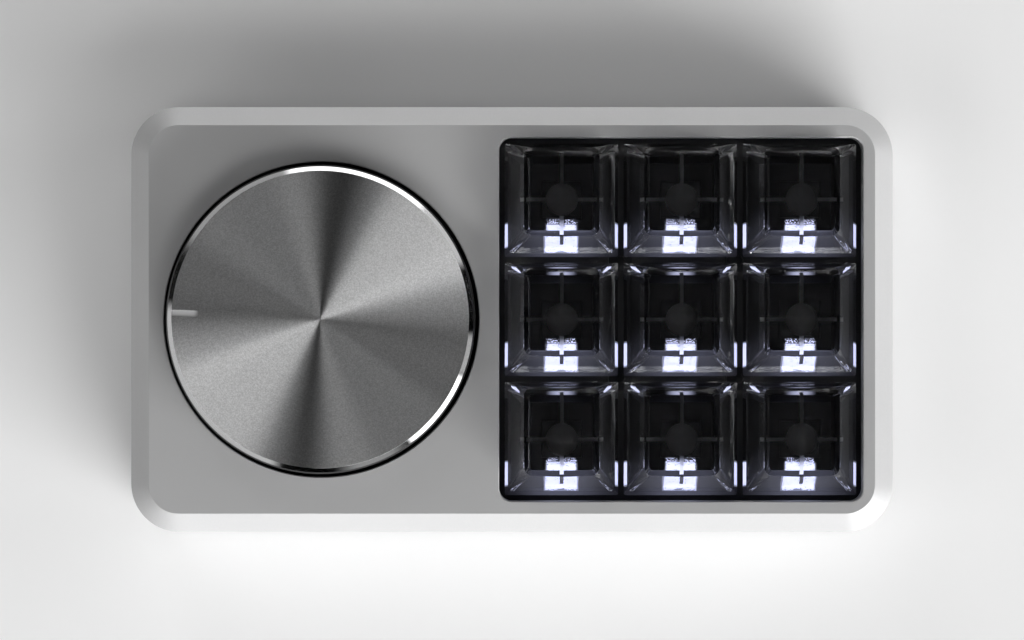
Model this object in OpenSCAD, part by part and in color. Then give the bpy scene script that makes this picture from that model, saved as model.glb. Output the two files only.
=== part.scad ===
// Macro keypad: nine clear keycaps on sprung switches, beside one large knob that turns and presses,
// in a chamfered aluminium case on four rubber feet. Millimetres.
// X runs along the case from the knob to the keys, Y away from the user, Z up from the desk.

/* [Keycaps] */
// Distance between neighbouring keys
key_pitch = 19.05; // [19.05:0.05:21]
// Width and depth of a cap at its open base
cap_w = 18.13; // [17.6:0.01:18.5]
// Height of a cap
cap_h = 7.7; // [7.4:0.1:9.5]
// Width of a cap's top face
cap_top_w = 12.0; // [11.6:0.1:13.5]
// Depth of a cap's top face
cap_top_d = 13.8; // [13:0.1:14.4]
// How far the top face stands back from the base's rear edge
cap_rear_inset = 0.85; // [0.5:0.05:1.2]
// Radius of a cap's upright corners
cap_corner_r = 1.2; // [0.6:0.1:1.5]
// Thickness of a cap's side walls
cap_wall = 1.2; // [0.9:0.1:1.3]
// Thickness of a cap's roof at its rim
cap_roof = 1.5; // [1.3:0.1:1.8]
// Depth of the dish across a cap's top face
cap_dish = 0.7; // [0.3:0.1:0.9]
// Outer diameter of the tube that holds the stem
cap_tube_d = 5.2; // [5.1:0.1:5.5]
// Thickness of the ribs between tube and walls
cap_rib = 0.64; // [0.4:0.02:1]

/* [Switches] */
// Side of the switch body that passes through the plate
switch_w = 13.9; // [13.6:0.1:14.2]
// Side of the flange that rests on the plate
flange_w = 15.6; // [15.4:0.1:16]
// Thickness of the flange
flange_t = 1.0; // [0.8:0.1:1.2]
// Height of the upper housing above the flange
cover_rise = 5.6; // [5.4:0.1:5.8]
// Width of the upper housing's top face
cover_top_w = 11.2; // [11:0.1:11.6]
// Wall of both housings
housing_wall = 1.0; // [0.8:0.05:1.05]
// Height of the switch body between board and plate top
switch_below = 5.0; // [4.8:0.1:6]
// Height of the stem's cross above the housing
cross_rise = 3.6; // [3.4:0.1:3.8]
// Length of each arm pair of the cross
cross_l = 4.0; // [3.9:0.05:4.1]
// Thickness of the cross
cross_t = 1.2; // [1.1:0.05:1.3]
// How far a key travels
key_travel = 4.0; // [3:0.1:4]
// Diameter of the locating pole below a switch
pole_d = 3.9; // [3.7:0.1:4.1]
// Mean diameter of the key spring
spring_d = 3.9; // [3.9:0.05:4.1]
// Wire of the key spring
spring_wire = 0.5; // [0.3:0.05:0.5]
// Turns of the key spring
spring_turns = 6; // [5:1:8]

/* [Knob] */
// Outer diameter of the knob
knob_d = 49; // [46:0.5:54]
// Height of the knob's face above the case
knob_rise = 5; // [4:0.5:8]
// Width of the polished chamfer round the face
knob_chamfer = 0.95; // [0.5:0.05:1.5]
// Thickness of the knob's roof
knob_roof = 2.5; // [1.5:0.1:3]
// Thickness of the knob's skirt
knob_skirt = 2.2; // [1.5:0.1:3]
// Depth that the knob presses in
knob_travel = 0.5; // [0.3:0.05:0.5]
// Length of the index slot along the radius, up to the chamfer
index_l = 4.1; // [3:0.1:8]
// Width of the index slot
index_w = 1.1; // [0.8:0.1:2]
// Depth of the index slot
index_t = 0.4; // [0.2:0.1:0.8]
// Angle of the index slot at rest, from the X axis
index_angle = 177.6; // [0:0.1:360]

/* [Encoder] */
// Width of the encoder body
encoder_w = 12.0; // [11:0.1:13]
// Depth of the encoder body
encoder_d = 12.4; // [12:0.1:13]
// Height from the board to the recess floor
encoder_h = 6.5; // [6.3:0.1:7.5]
// Thickness of the encoder's metal plate
encoder_plate_t = 1.6; // [1.2:0.1:1.8]
// Diameter of the threaded bush
bush_d = 7.0; // [6.8:0.1:8]
// Length of the threaded bush
bush_l = 5.0; // [4.8:0.1:5.4]
// Diameter of the shaft
shaft_d = 6.0; // [5.6:0.1:6.2]
// Width across the nut's flats
nut_w = 10.0; // [9.5:0.5:12]
// Thickness of the nut
nut_t = 2.0; // [1.5:0.1:2.2]
// Thickness of the washer
washer_t = 0.5; // [0.3:0.1:0.6]

/* [Case] */
// Land between the case's left edge and the knob's recess
land_left = 5.4; // [5.2:0.1:9]
// Land between the knob's recess and the key well
land_mid = 3.2; // [2.5:0.1:8]
// Land between the key well and the case's right edge
land_right = 4.9; // [4.7:0.1:8]
// Land in front of and behind the key well
land_end = 4.95; // [4.75:0.05:8]
// Radius of the case's upright corners
corner_r = 7.7; // [6:0.1:9]
// Width of the chamfer round the top
top_chamfer = 3.0; // [1:0.1:3.2]
// Width of the chamfer round the base
base_chamfer = 0.8; // [0.3:0.1:1.2]
// Height from the switch plate to the case's top
well_depth = 10; // [9.5:0.1:12]
// Thickness of the case's top
top_wall = 5; // [4:0.1:5]
// Thickness of the case's side walls
side_wall = 3.0; // [2.8:0.1:3.2]
// Corner radius of the key well
well_r = 2.0; // [1:0.1:3]
// Thickness of the floor under the knob
recess_floor_t = 2.0; // [1.6:0.1:2.2]
// Wall round the knob's recess
recess_wall = 2.2; // [1.5:0.1:2.2]
// Thickness of the bottom cover
cover_t = 2.5; // [2.3:0.1:4]
// Rim of the case outside the bottom cover
cover_lip = 2.0; // [1.8:0.1:2.2]
// Diameter of a rubber foot
foot_d = 10; // [8:0.5:11]
// How far the feet stand proud of the case
foot_proud = 1.5; // [1:0.1:3]
// Depth of the pockets that hold the feet
foot_pocket = 0.8; // [0.5:0.1:1]
// Distance of the feet from the case's ends
foot_inset = 14.6; // [14:0.1:20]

/* [Board] */
// Thickness of the circuit board
board_t = 1.6; // [1.2:0.1:2]
// Room between the bottom cover and the board
board_room = 2.4; // [2.4:0.1:4]
// Thickness of the switch plate
plate_t = 1.5; // [1.2:0.1:1.8]
// Width of the cable socket
usb_w = 8.94; // [8.7:0.02:9.2]
// Height of the cable socket
usb_h = 3.26; // [3.1:0.02:3.4]
// Depth of the cable socket
usb_d = 7.35; // [7:0.05:8]
// Width of the opening in the rear wall for the cable's plug
port_w = 13.0; // [12:0.5:15]
// Height of the opening in the rear wall
port_h = 6.4; // [6:0.1:6.6]

/* [Fasteners] */
// Diameter of the cover screws
cover_screw_d = 2.5; // [2:0.1:2.8]
// Head diameter of the cover screws
cover_screw_head = 4.6; // [4:0.1:4.8]
// Length of the cover screws
cover_screw_l = 8; // [6:1:8]
// Diameter of the board's and the plate's screws
board_screw_d = 2.0; // [1.6:0.1:2.2]
// Head diameter of the board's and the plate's screws
board_screw_head = 3.8; // [3.4:0.1:4]
// Diameter of the bosses that take the cover screws
boss_d = 5.6; // [5.2:0.1:5.8]
// Diameter of the posts and the spacers
post_d = 4.4; // [4:0.1:4.6]

/* [Clearances] */
// Gap between the caps and the edge of their well
well_gap = 0.88; // [0.6:0.02:1.5]
// Gap between the knob and its recess
knob_gap = 0.6; // [0.4:0.05:1]
// Gap under the knob's skirt when the knob is pressed
press_gap = 0.3; // [0.2:0.05:0.5]
// Gap round pieces that are set into one another
fit_gap = 0.1; // [0.05:0.01:0.15]
// Gap round turning and sliding shafts
run_gap = 0.05; // [0.02:0.01:0.08]
// Gap between the case's inside and the boards
edge_gap = 0.3; // [0.2:0.05:0.4]

/* [Hidden] */
$fn = 48;
key_cols = 3;
key_rows = 3;
key_count = key_cols * key_rows;
hull_fn = 32;
sheet = 0.02;
cut = 1;

// Plan of the case: the lands and what lies between them add up to its size
well_w = (key_cols - 1) * key_pitch + cap_w + 2 * well_gap;
well_d = (key_rows - 1) * key_pitch + cap_w + 2 * well_gap;
recess_d = knob_d + 2 * knob_gap;
case_w = land_left + recess_d + land_mid + well_w + land_right;
case_d = well_d + 2 * land_end;
knob_x = -case_w / 2 + land_left + recess_d / 2;
keys_x = case_w / 2 - land_right - well_w / 2;
inner_w = case_w - 2 * side_wall;
inner_d = case_d - 2 * side_wall;
inner_r = corner_r - side_wall;

// Heights, from the desk up
base_z = foot_proud;
floor_z = base_z + cover_t;
board_z = floor_z + board_room;
board_top = board_z + board_t;
plate_top = board_top + switch_below;
plate_z = plate_top - plate_t;
top_z = plate_top + well_depth;
under_z = top_z - top_wall;
mount_z = board_top + encoder_h;
recess_z = mount_z + recess_floor_t;
flange_top = plate_top + flange_t;
housing_top = flange_top + cover_rise;
stem_top = housing_top + cross_rise;
knob_top = top_z + knob_rise;
knob_z = recess_z + press_gap + knob_travel;

// Stem and spring, from the switch's own floor up
switch_floor_t = 1.0;
switch_floor = board_top + switch_floor_t;
stem_foot_gap = 0.7;
stem_z = switch_floor + stem_foot_gap + key_travel;
shoulder_gap = 0.1;
cover_lid_t = housing_wall + 0.2;
shoulder_top = housing_top - cover_lid_t - shoulder_gap;
shoulder_w = 9.4;
shoulder_d = 6.0;
neck_w = 6.9;
neck_d = 5.6;
neck_rise = 0.4;
neck_gap = 0.2;
spring_room = 0.3;
spring_seat_t = 0.9;
spring_seat = shoulder_top - spring_seat_t;
stem_pole_d = 1.8;
stem_pole_gap = 0.2;
guide_wall = 0.45;
guide_d = stem_pole_d + 2 * stem_pole_gap + 2 * guide_wall;
pole_showing = 1.5;
pole_engaged = 1.2;
guide_top = stem_z - pole_showing;
stem_pole_z = guide_top - pole_engaged;
pole_l = 3.0;
guide_floor = stem_pole_z - key_travel - spring_room;
spring_gap = 0.05;
coil_steps = 10;
wire_sides = 5;

// Upper housing: its sides lean in, more at the front, where the light comes out
cover_w = 14.2;
cover_d = 14.4;
cover_front = 5.0;
cover_rear = 5.8;
light_y = -5.08;
light_w = 3.2;
light_d = 1.6;
light_t = 0.7;
light_slot_w = 5.0;
light_slot_d = 2.0;
light_guide_w = 5.6;
light_guide_rear = -3.9;
light_guide_front = -7.7;
light_guide_lip_t = 0.8;
light_guide_root_gap = 0.2;
pin_a = [2.54, 5.08];
pin_b = [-3.81, 2.54];
pin_d = 1.4;
pin_z = board_z - 1.2;
pin_play = 0.6;
leaf_t = 0.3;
leaf_w = 3.0;
leaf_h = 4.0;
leaf_y = 4.85;
socket_t = 1.8;
socket_x = -6.3;
socket_w = 11.3;
socket_d = 4.2;
socket_y = 3.0;
socket_arm_w = 3.9;
socket_arm_y = 0.8;
diode_w = 2.7;
diode_d = 1.6;
diode_t = 1.1;
diode_step = 2.0;

// Caps
cap_overlap = 0.5;
cap_z = housing_top - cap_overlap;
cap_top = cap_z + cap_h;
cap_ceiling = cap_top - cap_roof;
cap_tube_z = housing_top + neck_rise + fit_gap;
cap_rib_gap = 0.3;
cap_rib_z = housing_top + key_travel + cap_rib_gap;
cap_rib_low = cap_z + 1.4;
cap_rib_root = 0.3;
dish_r = (cap_top_w * cap_top_w / 4 + cap_dish * cap_dish) / (2 * cap_dish);

// Encoder and knob
bush_top = mount_z + bush_l;
knob_boss_gap = 0.5;
knob_boss_z = max(bush_top, recess_z + washer_t + nut_t) + knob_travel + knob_boss_gap;
knob_ceiling = knob_top - knob_roof;
shaft_top_gap = 0.5;
shaft_top = knob_ceiling - shaft_top_gap;
insert_wall = 1.2;
insert_d = shaft_d + 2 * insert_wall;
knob_boss_wall = 2.25;
knob_boss_d = insert_d + 2 * knob_boss_wall;
flat_depth = shaft_d / 4;
rotor_d = 9.0;
rotor_t = 1.3;
rotor_notch_d = 1.0;
rotor_notches = 12;
encoder_floor_t = 0.3;
dome_d = 5.0;
dome_rise = 0.4;
dome_t = 0.1;
dome_shoulder = 0.8 * dome_rise;
shaft_z = board_top + encoder_floor_t + dome_rise + knob_travel + run_gap;
rotor_gap = 0.2;
rotor_z = shaft_z + rotor_gap;
spindle_d = shaft_d * 2 / 3;
spindle_flat = spindle_d / 4;
spindle_top = rotor_z + rotor_t + knob_travel + rotor_gap;
lug_t = 0.5;
lug_w = 2.2;
pin_w = 0.8;
pin_t = 0.5;
pin_spacing = 2.5;
lug_showing = 0.6;
pin_showing = 1.0;
pin_reach = 1.3;

// Fasteners
screw_head_h = 1.3;
hex_d = 2.0;
hex_depth = 0.7;
head_sink = 0.1;
cover_head_h = (cover_screw_head - cover_screw_d) / 2;
boss_bury = 0.2;
boss_inset = boss_d / 2 - boss_bury;
boss_top = plate_z - edge_gap;
boss_x = inner_w / 2 - boss_inset;
boss_y = inner_d / 2 - boss_inset;
boss_mid_x = keys_x - well_w / 2 + boss_d / 12;
boss_places = [for (x = [-boss_x, boss_mid_x, boss_x], y = [-boss_y, boss_y]) [x, y]];
crossings = [for (x = [0 : key_cols - 2], y = [0 : key_rows - 2])
    [keys_x + (x - (key_cols - 2) / 2) * key_pitch, (y - (key_rows - 2) / 2) * key_pitch]];
board_screw_x = knob_x - 1.5 * encoder_w;
board_screw_y = encoder_d;
board_screw_places = [for (s = [-1, 1]) [board_screw_x, s * board_screw_y]];
post_depth = cover_t / 3;
foot_x = case_w / 2 - foot_inset;
foot_y = case_d / 2 - foot_inset + foot_d / 4;
chip_x = (knob_x + encoder_w / 2 + keys_x - key_pitch - flange_w / 2) / 2;
chip_w = 7.0;
chip_t = 0.9;
crystal_w = 3.2;
crystal_d = 2.5;
crystal_t = 0.8;
crystal_y = 8.0;
regulator_w = 2.9;
regulator_d = 3.0;
regulator_t = 1.2;
regulator_y = -9.0;
port_z = board_top + usb_h / 2;
usb_proud = 1.0;
usb_wall = 0.3;
usb_back_t = 1.6;
tongue_w = 6.7;
tongue_t = 0.7;
tongue_inset = 0.6;

usb_front = inner_d / 2 - edge_gap + usb_proud;
edge_break = 0.3;
recess_break = 0.5;

// Centre of a key, counted along the rows from the rear left
function key_place(i) = [
    keys_x + ((i - 1) % key_cols - (key_cols - 1) / 2) * key_pitch,
    ((key_rows - 1) / 2 - floor((i - 1) / key_cols)) * key_pitch,
    0
];

// ---- shapes used by several pieces ----

module rounded_slab(w, d, r, h) {
    linear_extrude(h) {
        square([w - 2 * r, d], center = true);
        square([w, d - 2 * r], center = true);
        for (x = [-1, 1], y = [-1, 1]) translate([x * (w / 2 - r), y * (d / 2 - r)]) circle(r);
    }
}

// A rounded slab of height h whose sides lean in by c from bottom to top, or out where c is negative
module leaning_slab(w, d, r, h, c) {
    for (x = [-1, 1], y = [-1, 1])
        translate([x * (w / 2 - r), y * (d / 2 - r), 0]) cylinder(h = h, r1 = r, r2 = r - c);
    rotate([90, 0, 90]) translate([0, 0, r - w / 2]) linear_extrude(w - 2 * r)
        polygon([[-d / 2, 0], [d / 2, 0], [d / 2 - c, h], [c - d / 2, h]]);
    rotate([90, 0, 0]) translate([0, 0, r - d / 2]) linear_extrude(d - 2 * r)
        polygon([[-w / 2, 0], [w / 2, 0], [w / 2 - c, h], [c - w / 2, h]]);
}

// A rectangular block whose four sides lean in, each between its own place at the bottom and at the top
module tapered_block(w, front, rear, top_w, top_front, top_rear, h) {
    intersection() {
        rotate([90, 0, 0]) translate([0, 0, -rear - cut]) linear_extrude(rear + front + 2 * cut)
            polygon([[-w / 2, 0], [w / 2, 0], [top_w / 2, h], [-top_w / 2, h]]);
        rotate([90, 0, 90]) translate([0, 0, -w / 2 - cut]) linear_extrude(w + 2 * cut)
            polygon([[-front, 0], [rear, 0], [top_rear, h], [-top_front, h]]);
    }
}

module centred_box(w, d, h) {
    translate([-w / 2, -d / 2, 0]) cube([w, d, h]);
}

module at(places, z) {
    for (p = places) translate([p[0], p[1], z]) children();
}

// A round bar with a flat along one side
module d_bar(d, flat, h) {
    difference() {
        cylinder(d = d, h = h);
        translate([d / 2 - flat, -d, -cut]) cube([d, 2 * d, h + 2 * cut]);
    }
}

// A pan-head screw that stands on z = 0 under its head, with a hexagon socket
module pan_screw(d, head, l) {
    difference() {
        union() {
            cylinder(d = head, h = screw_head_h);
            translate([0, 0, -l]) cylinder(d = d, h = l + screw_head_h / 2);
        }
        translate([0, 0, screw_head_h - hex_depth])
            cylinder(d = hex_d * board_screw_d / cover_screw_d, h = hex_depth + cut, $fn = 6);
    }
}

// ---- case ----

module case_outside() {
    body_h = top_z - base_z - top_chamfer - base_chamfer;
    translate([0, 0, base_z])
        leaning_slab(case_w - 2 * base_chamfer, case_d - 2 * base_chamfer, corner_r - base_chamfer,
            base_chamfer, -base_chamfer);
    translate([0, 0, base_z + base_chamfer]) rounded_slab(case_w, case_d, corner_r, body_h);
    translate([0, 0, top_z - top_chamfer])
        leaning_slab(case_w, case_d, corner_r, top_chamfer, top_chamfer);
}

// The hollow under the top, less the bosses and the cup that holds the knob
module case_hollow() {
    difference() {
        translate([0, 0, floor_z]) rounded_slab(inner_w, inner_d, inner_r, under_z - floor_z);
        at(boss_places, floor_z - cut) cylinder(d = boss_d, h = boss_top - floor_z + cut);
        translate([knob_x, 0, mount_z])
            cylinder(d = recess_d + 2 * recess_wall, h = under_z - mount_z + cut);
    }
    translate([0, 0, base_z - cut])
        rounded_slab(case_w - 2 * cover_lip, case_d - 2 * cover_lip, corner_r - cover_lip, cover_t + cut);
}

module case_shell() color("silver") {
    difference() {
        case_outside();
        case_hollow();
        translate([keys_x, 0, under_z - cut]) rounded_slab(well_w, well_d, well_r, top_wall + 2 * cut);
        translate([keys_x, 0, top_z - edge_break])
            leaning_slab(well_w, well_d, well_r, 2 * edge_break, -2 * edge_break);
        translate([knob_x, 0, recess_z]) cylinder(d = recess_d, h = top_z);
        translate([knob_x, 0, top_z - recess_break])
            cylinder(d1 = recess_d, d2 = recess_d + 4 * recess_break, h = 2 * recess_break);
        translate([knob_x, 0, mount_z - cut])
            cylinder(d = bush_d + 2 * fit_gap, h = recess_floor_t + 2 * cut);
        at(boss_places, floor_z - cut)
            cylinder(d = cover_screw_d + fit_gap, h = cover_screw_l - cover_t + cut + fit_gap);
        translate([knob_x, inner_d / 2 - cut, port_z]) rotate([-90, 0, 0])
            rounded_slab(port_w, port_h, port_h / 2 - fit_gap, side_wall + 2 * cut);
        translate([knob_x, case_d / 2 - edge_break, port_z]) rotate([-90, 0, 0])
            leaning_slab(port_w, port_h, port_h / 2 - fit_gap, 2 * edge_break, -2 * edge_break);
    }
}

module bottom_cover() color("dimgray") {
    rim_w = case_w - 2 * cover_lip - 2 * fit_gap;
    rim_d = case_d - 2 * cover_lip - 2 * fit_gap;
    difference() {
        union() {
            translate([0, 0, base_z]) rounded_slab(rim_w, rim_d, corner_r - cover_lip - fit_gap, cover_t);
            at(concat(crossings, board_screw_places), floor_z - cut)
                cylinder(d = post_d, h = board_room + cut);
        }
        at(concat(crossings, board_screw_places), base_z + post_depth)
            cylinder(d = board_screw_d + fit_gap, h = board_z);
        at(boss_places, base_z - cut) cylinder(d = cover_screw_d + 2 * fit_gap, h = cover_t + 2 * cut);
        at(boss_places, base_z - cut) cylinder(d = cover_screw_head + 2 * fit_gap, h = cut + head_sink);
        at(boss_places, base_z + head_sink) cylinder(
            d1 = cover_screw_head + 2 * fit_gap, d2 = cover_screw_d + 2 * fit_gap, h = cover_head_h);
        for (x = [-1, 1], y = [-1, 1]) translate([x * foot_x, y * foot_y, base_z - cut])
            cylinder(d = foot_d + 2 * fit_gap, h = foot_pocket + cut);
    }
}

module cover_screws() color("gray") {
    at(boss_places, base_z + head_sink) difference() {
        union() {
            cylinder(d1 = cover_screw_head, d2 = cover_screw_d, h = cover_head_h);
            cylinder(d = cover_screw_d, h = cover_screw_l - head_sink);
        }
        translate([0, 0, -cut]) cylinder(d = hex_d, h = hex_depth + cut, $fn = 6);
    }
}

module rubber_feet() color([0.06, 0.06, 0.06]) {
    rim = foot_proud / 4;
    for (x = [-1, 1], y = [-1, 1]) translate([x * foot_x, y * foot_y, 0]) {
        cylinder(d1 = foot_d - 2 * rim, d2 = foot_d, h = rim);
        translate([0, 0, rim]) cylinder(d = foot_d, h = foot_proud + foot_pocket - rim);
    }
}

// ---- keys ----

module cap_block(base_w, top_w, base_back, top_back, top_d, base_d, r, z0, z1) {
    hull() {
        translate([0, base_back - base_d / 2, z0]) linear_extrude(sheet)
            hull_rect(base_w, base_d, r);
        translate([0, top_back - top_d / 2, z1 - sheet]) linear_extrude(sheet)
            hull_rect(top_w, top_d, r);
    }
}

module hull_rect(w, d, r) {
    for (x = [-1, 1], y = [-1, 1])
        translate([x * (w / 2 - r), y * (d / 2 - r)]) circle(r, $fn = hull_fn);
}

module cap_outside() {
    cap_block(cap_w, cap_top_w, cap_w / 2, cap_w / 2 - cap_rear_inset, cap_top_d, cap_w,
        cap_corner_r, cap_z, cap_top);
}

// The hollow follows the outside, one wall further in, up to the roof
module cap_inside() {
    share = (cap_ceiling - cap_z) / cap_h;
    w = cap_w + (cap_top_w - cap_w) * share;
    back = cap_w / 2 - cap_rear_inset * share;
    d = cap_w + (cap_top_d - cap_w) * share;
    cap_block(cap_w - 2 * cap_wall, w - 2 * cap_wall, cap_w / 2 - cap_wall, back - cap_wall,
        d - 2 * cap_wall, cap_w - 2 * cap_wall, cap_corner_r / 2, cap_z, cap_ceiling);
}

// A rib runs from the tube to the wall and steps down outside the switch housing
module cap_rib_profile() {
    root = cap_tube_d / 2 - cap_rib_root;
    clear = cover_top_w / 2 + cap_rib_gap;
    high = cap_ceiling + cap_rib_root;
    polygon([[root, high], [root, cap_rib_z], [clear, cap_rib_z],
        [cap_w / 2, cap_rib_low], [cap_w / 2, high]]);
}

module keycap(i) translate(key_place(i)) {
    difference() {
        cap_outside();
        difference() {
            cap_inside();
            translate([0, 0, cap_tube_z]) cylinder(d = cap_tube_d, h = cap_h);
            for (a = [0, 90, 180, 270]) rotate([0, 0, a])
                rotate([90, 0, 0]) translate([0, 0, -cap_rib / 2]) linear_extrude(cap_rib)
                    cap_rib_profile();
        }
        translate([0, cap_w, cap_top - cap_dish + dish_r]) rotate([90, 0, 0])
            cylinder(r = dish_r, h = 2 * cap_w);
        for (a = [0, 90]) rotate([0, 0, a]) translate([0, 0, cap_tube_z - cut])
            centred_box(cross_l + fit_gap, cross_t + fit_gap, stem_top + fit_gap - cap_tube_z + cut);
    }
}

module switch_stem(i) translate(key_place(i)) {
    difference() {
        union() {
            translate([0, 0, stem_z]) centred_box(shoulder_w, shoulder_d, shoulder_top - stem_z);
            translate([0, 0, stem_z]) centred_box(neck_w, neck_d, housing_top + neck_rise - stem_z);
            for (a = [0, 90]) rotate([0, 0, a]) translate([0, 0, housing_top])
                centred_box(cross_l, cross_t, cross_rise);
        }
        translate([0, 0, stem_z - cut])
            cylinder(d = spring_d + spring_wire + 2 * spring_room, h = spring_seat - stem_z + cut);
    }
    translate([0, 0, stem_pole_z]) cylinder(d = stem_pole_d, h = spring_seat - stem_pole_z + spring_room);
}

// A wire swept along a helix, with flat ends
function coil_ring(t, r, z0, z1, wire, sides, turns) = [
    for (k = [0 : sides - 1])
        let (a = 360 * turns * t, b = 360 * k / sides, q = r + wire / 2 * cos(b))
            [q * cos(a), q * sin(a), z0 + (z1 - z0) * t + wire / 2 * sin(b)]
];

module coil(r, z0, z1, wire, turns, steps, sides) {
    rings = turns * steps;
    points = [for (n = [0 : rings]) each coil_ring(n / rings, r, z0, z1, wire, sides, turns)];
    sides_faces = [for (n = [0 : rings - 1], k = [0 : sides - 1])
        let (m = (k + 1) % sides)
        [n * sides + k, n * sides + m, (n + 1) * sides + m, (n + 1) * sides + k]];
    first = [for (k = [sides - 1 : -1 : 0]) k];
    last = [for (k = [0 : sides - 1]) rings * sides + k];
    polyhedron(points, concat([first], sides_faces, [last]));
}

module switch_spring(i) translate(key_place(i)) {
    inset = spring_wire / 2 + spring_gap;
    coil(spring_d / 2, switch_floor + inset, spring_seat - inset, spring_wire, spring_turns,
        coil_steps, wire_sides);
}

module switch_cover_solid() {
    inner_rise = cover_rise - cover_lid_t;
    share = inner_rise / cover_rise;
    half_d = cover_d / 2;
    cavity_d = half_d - housing_wall;
    cavity_top_w = cover_w + (cover_top_w - cover_w) * share - 2 * housing_wall;
    cavity_top_front = cavity_d + (cover_front - half_d) * share;
    cavity_top_rear = cavity_d + (cover_rear - half_d) * share;
    difference() {
        translate([0, 0, flange_top])
            tapered_block(cover_w, half_d, half_d, cover_top_w, cover_front, cover_rear, cover_rise);
        translate([0, 0, flange_top - sheet])
            tapered_block(cover_w - 2 * housing_wall, cavity_d, cavity_d,
                cavity_top_w, cavity_top_front, cavity_top_rear, inner_rise + sheet);
        translate([0, 0, flange_top])
            centred_box(neck_w + 2 * neck_gap, neck_d + 2 * neck_gap, cover_rise + cut);
        translate([-light_guide_w / 2 - fit_gap, light_guide_rear - cover_d, flange_top - cut])
            cube([light_guide_w + 2 * fit_gap, cover_d + fit_gap, cover_rise + 2 * cut]);
    }
}

module switch_covers() color([0.05, 0.05, 0.06])
    for (i = [1 : key_count]) translate(key_place(i)) switch_cover_solid();

// A clear block over the light, flush with the housing's top and front, with a lip on the flange
function light_guide_profile() =
    let (low = flange_top + light_guide_lip_t,
        front = cover_d / 2 + (cover_front - cover_d / 2) * light_guide_lip_t / cover_rise,
        root = light_guide_rear - fit_gap,
        root_front = housing_wall + light_guide_root_gap - switch_w / 2,
        root_z = switch_floor + light_guide_root_gap)
    [[light_guide_rear, housing_top], [-cover_front, housing_top], [-front, low],
        [light_guide_front, low], [light_guide_front, flange_top],
        [root_front, flange_top], [root_front, root_z],
        [root, root_z], [root, flange_top], [light_guide_rear, flange_top]];

module light_guides() color([0.9, 0.92, 1])
    for (i = [1 : key_count]) translate(key_place(i)) rotate([90, 0, 90])
        translate([0, 0, -light_guide_w / 2]) linear_extrude(light_guide_w) polygon(light_guide_profile());

module switch_base_solid() {
    inside = switch_w - 2 * housing_wall;
    difference() {
        union() {
            translate([0, 0, board_top]) centred_box(switch_w, switch_w, switch_below);
            translate([0, 0, plate_top]) centred_box(flange_w, flange_w, flange_t);
            translate([0, 0, board_top - pole_l]) cylinder(d = pole_d, h = pole_l + switch_floor_t / 2);
        }
        difference() {
            translate([0, 0, switch_floor]) centred_box(inside, inside, flange_top);
            cylinder(d = guide_d, h = guide_top);
        }
        translate([0, 0, guide_floor]) cylinder(d = stem_pole_d + 2 * stem_pole_gap, h = guide_top);
        translate([-light_slot_w / 2, light_y - light_slot_d / 2, board_top - cut])
            cube([light_slot_w, light_slot_d, switch_floor_t + 2 * cut]);
        for (p = [pin_a, pin_b]) translate([p[0], p[1], board_top - cut])
            cylinder(d = pin_d + fit_gap, h = switch_floor_t + 2 * cut);
    }
}

module switch_bases() color([0.04, 0.04, 0.05])
    for (i = [1 : key_count]) translate(key_place(i)) switch_base_solid();

module switch_contacts() color([0.8, 0.6, 0.3]) for (i = [1 : key_count]) translate(key_place(i)) {
    for (p = [pin_a, pin_b]) {
        translate([p[0], p[1], pin_z]) cylinder(d = pin_d, h = switch_floor + leaf_t - pin_z);
        translate([p[0] - leaf_w / 2, leaf_y, switch_floor]) cube([leaf_w, leaf_t, leaf_h]);
        reach = leaf_y - p[1];
        translate([p[0] - leaf_w / 6, min(p[1], leaf_y), switch_floor])
            cube([leaf_w / 3, max(reach, leaf_t) + leaf_t / 2, leaf_t]);
    }
}

module switch_plate() color([0.03, 0.03, 0.03]) {
    side = inner_d - 2 * edge_gap;
    left = keys_x - side / 2;
    right = inner_w / 2 - edge_gap;
    difference() {
        translate([(left + right) / 2, 0, plate_z]) rounded_slab(right - left, side, inner_r, plate_t);
        for (i = [1 : key_count]) translate(key_place(i) + [0, 0, plate_z - cut])
            centred_box(switch_w + fit_gap, switch_w + fit_gap, plate_t + 2 * cut);
        at(crossings, plate_z - cut) cylinder(d = board_screw_d + 2 * fit_gap, h = plate_t + 2 * cut);
    }
}

module plate_screws() color([0.2, 0.2, 0.2])
    at(crossings, plate_top) pan_screw(board_screw_d, board_screw_head, plate_top - floor_z);

module plate_spacers() color("gold") at(crossings, board_top) difference() {
    cylinder(d = post_d, h = plate_z - board_top);
    translate([0, 0, -cut]) cylinder(d = board_screw_d + 2 * fit_gap, h = plate_z);
}

// ---- board ----

module circuit_board() color([0.05, 0.2, 0.12]) difference() {
    translate([0, 0, board_z])
        rounded_slab(inner_w - 2 * edge_gap, inner_d - 2 * edge_gap, inner_r - edge_gap, board_t);
    at(boss_places, board_z - cut) cylinder(d = boss_d + 2 * edge_gap, h = board_t + 2 * cut);
    at(concat(crossings, board_screw_places), board_z - cut)
        cylinder(d = board_screw_d + 2 * fit_gap, h = board_t + 2 * cut);
    for (i = [1 : key_count]) translate(key_place(i) + [0, 0, board_z - cut]) {
        cylinder(d = pole_d + 2 * fit_gap, h = board_t + 2 * cut);
        for (p = [pin_a, pin_b]) translate(p) cylinder(d = pin_d + pin_play, h = board_t + 2 * cut);
    }
    translate([knob_x, 0, board_z - cut]) {
        for (p = encoder_pin_places()) translate([p[0], p[1] + sign(p[1]) * (pin_reach - pin_t / 2), 0])
            cylinder(d = 1.5 * pin_w, h = board_t + 2 * cut);
        for (s = [-1, 1]) translate([s * (encoder_w / 2 + lug_t / 2), 0, 0])
            centred_box(lug_t + 4 * fit_gap, lug_w + 4 * fit_gap, board_t + 2 * cut);
    }
}

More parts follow.
